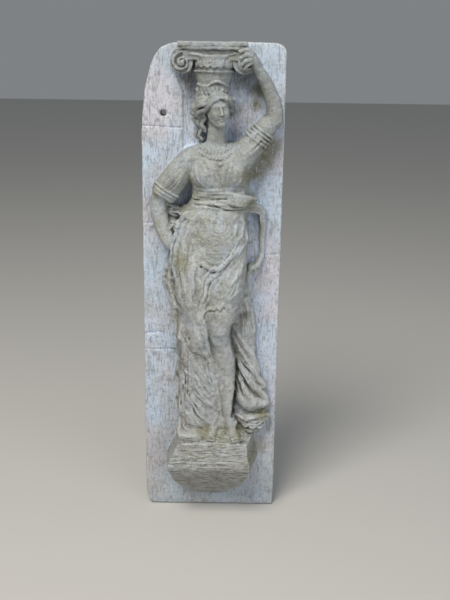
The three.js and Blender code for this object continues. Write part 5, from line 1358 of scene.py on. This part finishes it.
# Aged cast plaster: poured gypsum, matt and chalky, rubbed pale and given a painted highlight on what
# stands out, with brown dust settled in the folds and darkened further as painted shade, painted light in
# the slab's hollows and a cool distemper left on the slab
plasterFinish = {
    "chalk": "#a9aba9",
    "moss": "#a3a48c",
    "cool": "#cbdff8",
    "lilac": "#b0acb2",
    "blush": "#d9d4e2",
    # pale of rubbed wear, and of the painted highlight on what stands out
    "rubbed": "#d2d7d6",
    "dust": "#93917f",
    # dark of dust, of painted shade in narrow hollows and of the painted shadow spots
    "grime": "#514d3c",
    "soot": "#6f6e62",
    # grey of the streaks and flecks on the slab, and of the painted shade over the figure's top
    "shade": "#74797b",
    "ochre": "#7e7a50",
    # olive stains, some of them painted shadow beside the raised arm and on the bracket's right side: x and
    # z in mm on the front, and their reach
    "stainsAndPaintedShadows": [(52, 136, 13), (46, 124, 13), (41, 112, 11), (39, 184, 9), (38, 172, 7), (43, -160, 12),
        (30, 112, 12), (34, 88, 9), (-6, -134, 10), (10, -136, 12), (28, -136, 9),
        (50, -120, 10), (-28, 34, 12)],
    # painted shadow where shade falls: under the capital's scrolls, beside the head and in other sheltered
    # places
    "paintedShadowSpots": [(-25, 198, 10), (25, 196, 12), (-20, 192, 9), (20, 168, 8), (-36, 104, 9), (30, -20, 8),
        (-30, -60, 12)],
    # patterns: size in mm, detail, roughness, distortion, and scale along x, y and z where drawn out
    "patterns": {
        "patches": (55, 3, 0.55, 0),
        "clouds": (24, 4, 0.55, 0),
        "damp": (21, 3, 0.55, 0),
        "blotches": (17, 5, 0.62, 0),
        "blooms": (13, 5, 0.6, 0.8),
        "moss": (11, 5, 0.66, 0),
        "stains": (7, 6, 0.7, 0),
        "mottle": (3.4, 8, 0.78, 0),
        "lumps": (3, 6, 0.75, 0),
        "curled": (2.6, 4, 0.6, 2.4),
        "flaked": (1.3, 3, 0.65, 0, (1, 1, 0.4)),
        "brushed": (1.5, 5, 0.6, 0, (1, 1, 0.16)),
        "scraped": (1.3, 5, 0.6, 0, (0.14, 1, 1)),
        "grain": (0.45, 3, 0.7, 0),     # coarser than real gypsum grain so that it shows
    },
    # ranges: what is measured, in metres up the panel or mm out of the slab's face, and from where to where
    "ranges": {
        "outward": ("standOut", -2.5, 3),
        "front": ("standOut", -6, -2),
        "rising": ("height", -0.06, 0.08),
        "lowest": ("height", -0.226, -0.135),
        "footward": ("height", -0.226, -0.08),
        "crownward": ("height", 0.04, 0.226),
    },
    # zones: the range that each follows, and its stops
    "zones": {
        "slab": ("outward", ((0.35, 1), (1, 0))),
        "figure": ("outward", ((0.35, 0), (1, 1))),
        "low": ("lowest", ((0.96, 1), (1, 0))),
        "upward": ("rising", ((0, 0.25), (1, 1))),
        # narrow hollows, where dust and painted shade darken the surface
        "hollowDustAndShadeOnFigure": ("near", ((0.5, 0), (0.62, 0.4), (0.78, 0.9))),
        "hollowDustAndShadeOnSlab": ("near", ((0.56, 0), (0.78, 0.6))),
    },
    # patterns that are one thing on the figure and another on the slab
    "either": {
        "flecks": ("curled", "flaked"),
        "settled": ("hollowDustAndShadeOnFigure", "hollowDustAndShadeOnSlab"),
        "lumpy": ("curled", "lumps"),
        "strokes": ("scraped", "brushed"),
    },
    # coats, one over the other: colour, the pattern it follows, stops of strength, and zones that hold it
    "skin": [
        ("cool", "clouds", ((0.46, 0), (0.66, 0.6))),
        ("lilac", "rising", ((0, 0.45), (1, 0))),
        ("moss", "moss", ((0.46, 0), (0.62, 0.8)), "upward"),
    ],
    "slabSkin": [("blush", "patches", ((0.42, 0), (0.6, 1)))],
    # dust in the figure's wide hollows, darkened further as painted shade
    "dirt": [("ochre", "damp", ((0.5, 0), (0.66, 0.8)))],
    "age": [
        ("dust", "blotches", ((0.45, 0), (0.75, 0.5))),
        ("soot", "blooms", ((0.34, 0.5), (0.47, 0))),
        ("rubbed", "blooms", ((0.54, 0), (0.66, 0.6))),
        # in the hollows: painted light brightens the slab; dust and painted shade darken the figure,
        # heavier where both the near and the wide surroundings close in; a painted highlight pales what
        # stands out
        # painted light: the slab is brightened where its hollows lie in shadow
        ("cool", "wide", ((0.5, 0), (0.66, 0.6)), "slab"),
        # dust and painted shade: the figure darkened in its wide hollows
        ("dirt", "wide", ((0.52, 0), (0.8, 0.9)), "figure"),
        # dust and painted shade: narrow hollows darkened on figure and slab
        ("grime", "settled", ((0, 0), (1, 1))),
        # painted highlight: edges that stand out are paled as if lit
        ("rubbed", "near", ((0.26, 0.8), (0.46, 0))),
    ],
    # flaking, brush streaks on the slab, scrapes along the bracket, a dusty foot and painted shade over the
    # figure's top
    "wear": [
        ("sooty", "flecks", ((0.3, 0.75), (0.46, 0))),
        ("rubbed", "flecks", ((0.54, 0), (0.68, 0.85))),
        ("sooty", "mottle", ((0.3, 0.65), (0.47, 0))),
        ("rubbed", "mottle", ((0.56, 0), (0.74, 0.5))),
        ("sooty", "stains", ((0.55, 0), (0.7, 0.6))),
        ("shade", "brushed", ((0.36, 0.6), (0.48, 0)), "slab"),
        ("soot", "scraped", ((0.38, 0.9), (0.5, 0)), "low", "figure"),
        ("rubbed", "scraped", ((0.54, 0), (0.66, 0.8)), "low", "figure"),
        ("dust", "footward", ((0, 0.35), (1, 0))),
        # painted shade: the figure darkened towards its top
        ("shade", "crownward", ((0, 0), (0.3, 0.2), (0.8, 0.42), (1, 0.36)), "figure"),
    ],
    # height, strength and depth in mm: lumps, brush strokes, pinholes from air in the pour, grain
    "bumps": [("lumpy", 1.0, 1.4), ("strokes", 0.45, 0.4), ("pits", 0.4, 0.35), ("grain", 0.3, 0.12)],
    "pits": 1.1,         # mm between the larger pinholes
    "roughness": 0.78,
}


def plasterMaterial(name, finish):
    material = bpy.data.materials.new(name)
    material.use_nodes = True
    tree = material.node_tree
    shader = next(n for n in tree.nodes if n.type == "BSDF_PRINCIPLED")
    tones = {key: linear(value) for key, value in finish.items() if str(value).startswith("#")}
    place = addNode(tree, "ShaderNodeTexCoord").outputs["Object"]
    per = 1 / mm
    seen = {"height": addNode(tree, "ShaderNodeSeparateXYZ", {"Vector": place}).outputs["Z"]}
    for key, attribute in (("near", "hollowNear"), ("wide", "hollowWide"), ("standOut", "standOut")):
        seen[key] = addNode(tree, "ShaderNodeAttribute", attribute_name=attribute).outputs["Fac"]
    for key, (size, detail, roughness, distortion, *drawn) in finish["patterns"].items():
        at = place
        if drawn:
            at = addNode(tree, "ShaderNodeMapping", {"Vector": place, "Scale": drawn[0]}).outputs[0]
        seen[key] = addNode(tree, "ShaderNodeTexNoise", {
            "Vector": at, "Scale": per / size, "Detail": detail, "Roughness": roughness,
            "Distortion": distortion}).outputs["Fac"]
    for key, (measured, low, high) in finish["ranges"].items():
        seen[key] = addNode(tree, "ShaderNodeMapRange", {
            "Value": seen[measured], "From Min": low, "From Max": high}).outputs[0]
    for key, (followed, stops) in finish["zones"].items():
        seen[key] = addNode(tree, "ShaderNodeValToRGB", {"Fac": seen[followed]}, stops).outputs["Color"]

    def mixed(under, over, share):
        return addNode(tree, "ShaderNodeMix", {0: share, 6: under, 7: over}, data_type="RGBA",
                       blend_type="MIX", clamp_factor=True).outputs[2]

    def coated(base, coats):
        for colour, followed, stops, *held in coats:
            strength = addNode(tree, "ShaderNodeValToRGB", {"Fac": seen[followed]}, stops).outputs["Color"]
            for zone in held:
                strength = mixed((0, 0, 0, 1), strength, seen[zone])
            base = mixed(base, tones[colour], strength)
        return base

    # the slab keeps a cool distemper with pinkish patches, the figure a warmer skin
    slab = seen["slab"]
    skin = coated(tones["chalk"], finish["skin"])
    base = mixed(skin, coated(tones["cool"], finish["slabSkin"]), slab)
    # brown dust and painted shade for the figure's wide hollows
    tones["dirt"] = coated(tones["soot"], finish["dirt"])
    tones["sooty"] = mixed(tones["soot"], tones["shade"], slab)
    seen["blooms"] = mixed(seen["blooms"], (0.5, 0.5, 0.5, 1), slab)
    for key, (figure, onSlab) in finish["either"].items():
        seen[key] = mixed(seen[figure], seen[onSlab], slab)
    base = coated(base, finish["age"])

    # yellow stains, some of them painted shadow beside the raised arm and on the bracket, and painted
    # shadow in sheltered places
    flat = addNode(tree, "ShaderNodeVectorMath", {0: place, 1: (1, 0, 1)}, operation="MULTIPLY").outputs[0]
    for places, colour, most in (("stainsAndPaintedShadows", "ochre", 0.85), ("paintedShadowSpots", "grime", 0.6)):
        for x, z, reach in finish[places]:
            spot = (x * mm, 0, z * mm)
            away = addNode(tree, "ShaderNodeVectorMath", {0: flat, 1: spot}, operation="DISTANCE")
            seen["spot"] = addNode(tree, "ShaderNodeMapRange", {
                "Value": away.outputs["Value"], "From Min": reach * mm,
                "From Max": 0.3 * reach * mm}).outputs[0]
            stops = ((0.3, 0.4 * most), (0.55, most))
            base = coated(base, [(colour, "stains", stops, "spot", "front")])
    tree.links.new(coated(base, finish["wear"]), shader.inputs["Base Color"])

    rough = addNode(tree, "ShaderNodeMapRange", {
        "Value": seen["blotches"], "To Min": finish["roughness"] - 0.08,
        "To Max": finish["roughness"] + 0.1}).outputs[0]
    tree.links.new(rough, shader.inputs["Roughness"])
    shader.inputs["Specular IOR Level"].default_value = 0.3

    cells = addNode(tree, "ShaderNodeTexVoronoi", {
        "Vector": place, "Scale": per / finish["pits"] / 3, "Randomness": 1.0}).outputs["Distance"]
    seen["pits"] = addNode(tree, "ShaderNodeValToRGB", {"Fac": cells}, ((0.08, 0),
        (0.2, 1))).outputs["Color"]
    normal = {}
    for key, strength, deep in finish["bumps"]:
        bump = addNode(tree, "ShaderNodeBump", {
            "Height": seen[key], "Strength": strength, "Distance": deep * mm, **normal})
        normal = {"Normal": bump.outputs[0]}
    tree.links.new(normal["Normal"], shader.inputs["Normal"])
    return material


plaster = plasterMaterial("agedCastPlaster", plasterFinish)
relief.data.materials.clear()
relief.data.materials.append(plaster)
tree = beadTree()
beads = [makeBeads(name, row, tree, clay, plaster) for name, row in beadRows.items()]
for piece in [relief] + beads:
    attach(piece, "root")
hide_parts("caryatid_relief")
print("plaster finished, with", len(beads), "rows of beads")


stage = {"floor": -0.226, "size": 6.0, "floorColour": "#c9c7c2"}


def makeFloor():
    size = stage["size"]
    mesh = bpy.data.meshes.new("studioFloor")
    mesh.from_pydata([(-size, -size, 0), (size, -size, 0), (size, size, 0), (-size, size, 0)],
        [], [(0, 1, 2, 3)])
    mesh.transform(Matrix.Translation((0, 0, stage["floor"] - 0.0002)))
    floor = link(bpy.data.objects.new("studioFloor", mesh))
    material = bpy.data.materials.new("paleStudioFloor")
    material.use_nodes = True
    tree = material.node_tree
    shader = next(n for n in tree.nodes if n.type == "BSDF_PRINCIPLED")
    shader.inputs["Base Color"].default_value = linear(stage["floorColour"])
    shader.inputs["Roughness"].default_value = 0.9
    mesh.materials.append(material)


makeFloor()

camera = {
    "place": (0.0128, -0.809, 0.227),
    "down": 16.7,      # degrees below level
    "tilt": 0.8,
    "lens": 36 * 867 / 600,
}


def makeCamera():
    down = math.radians(camera["down"])
    aim = Vector((0, math.cos(down), -math.sin(down))).to_track_quat("-Z", "Y").to_matrix().to_4x4()
    data = bpy.data.cameras.new("photoView")
    data.sensor_fit, data.sensor_width, data.sensor_height = "AUTO", 36, 24
    data.lens = camera["lens"]
    data.clip_start = 0.01
    obj = link(bpy.data.objects.new("photoView", data))
    tilt = Matrix.Rotation(math.radians(camera["tilt"]), 4, "Z")
    obj.matrix_world = Matrix.Translation(camera["place"]) @ aim @ tilt
    bpy.context.scene.camera = obj


makeCamera()

lights = {
    "key": {"place": (-0.46, -0.95, 1.35), "power": 27, "size": 0.8, "colour": "#fffaf2"},
    "fill": {"place": (0.9, -1.3, 0.4), "power": 7, "size": 1.2, "colour": "#eef4ff"},
}


def makeLights():
    for name, light in lights.items():
        data = bpy.data.lights.new(name, "AREA")
        data.energy, data.size, data.color = light["power"], light["size"], linear(light["colour"])[:3]
        obj = link(bpy.data.objects.new(name, data))
        place = Vector(light["place"])
        obj.matrix_world = Matrix.Translation(place) @ (-place).to_track_quat("-Z",
            "Y").to_matrix().to_4x4()
    world = bpy.data.worlds.new("softRoom")
    world.use_nodes = True
    background = world.node_tree.nodes["Background"]
    background.inputs["Color"].default_value = linear("#e2e7ec")
    background.inputs["Strength"].default_value = 0.28
    bpy.context.scene.world = world
    bpy.context.scene.view_settings.view_transform = "Standard"


makeLights()
print("stage, camera and lights ready")
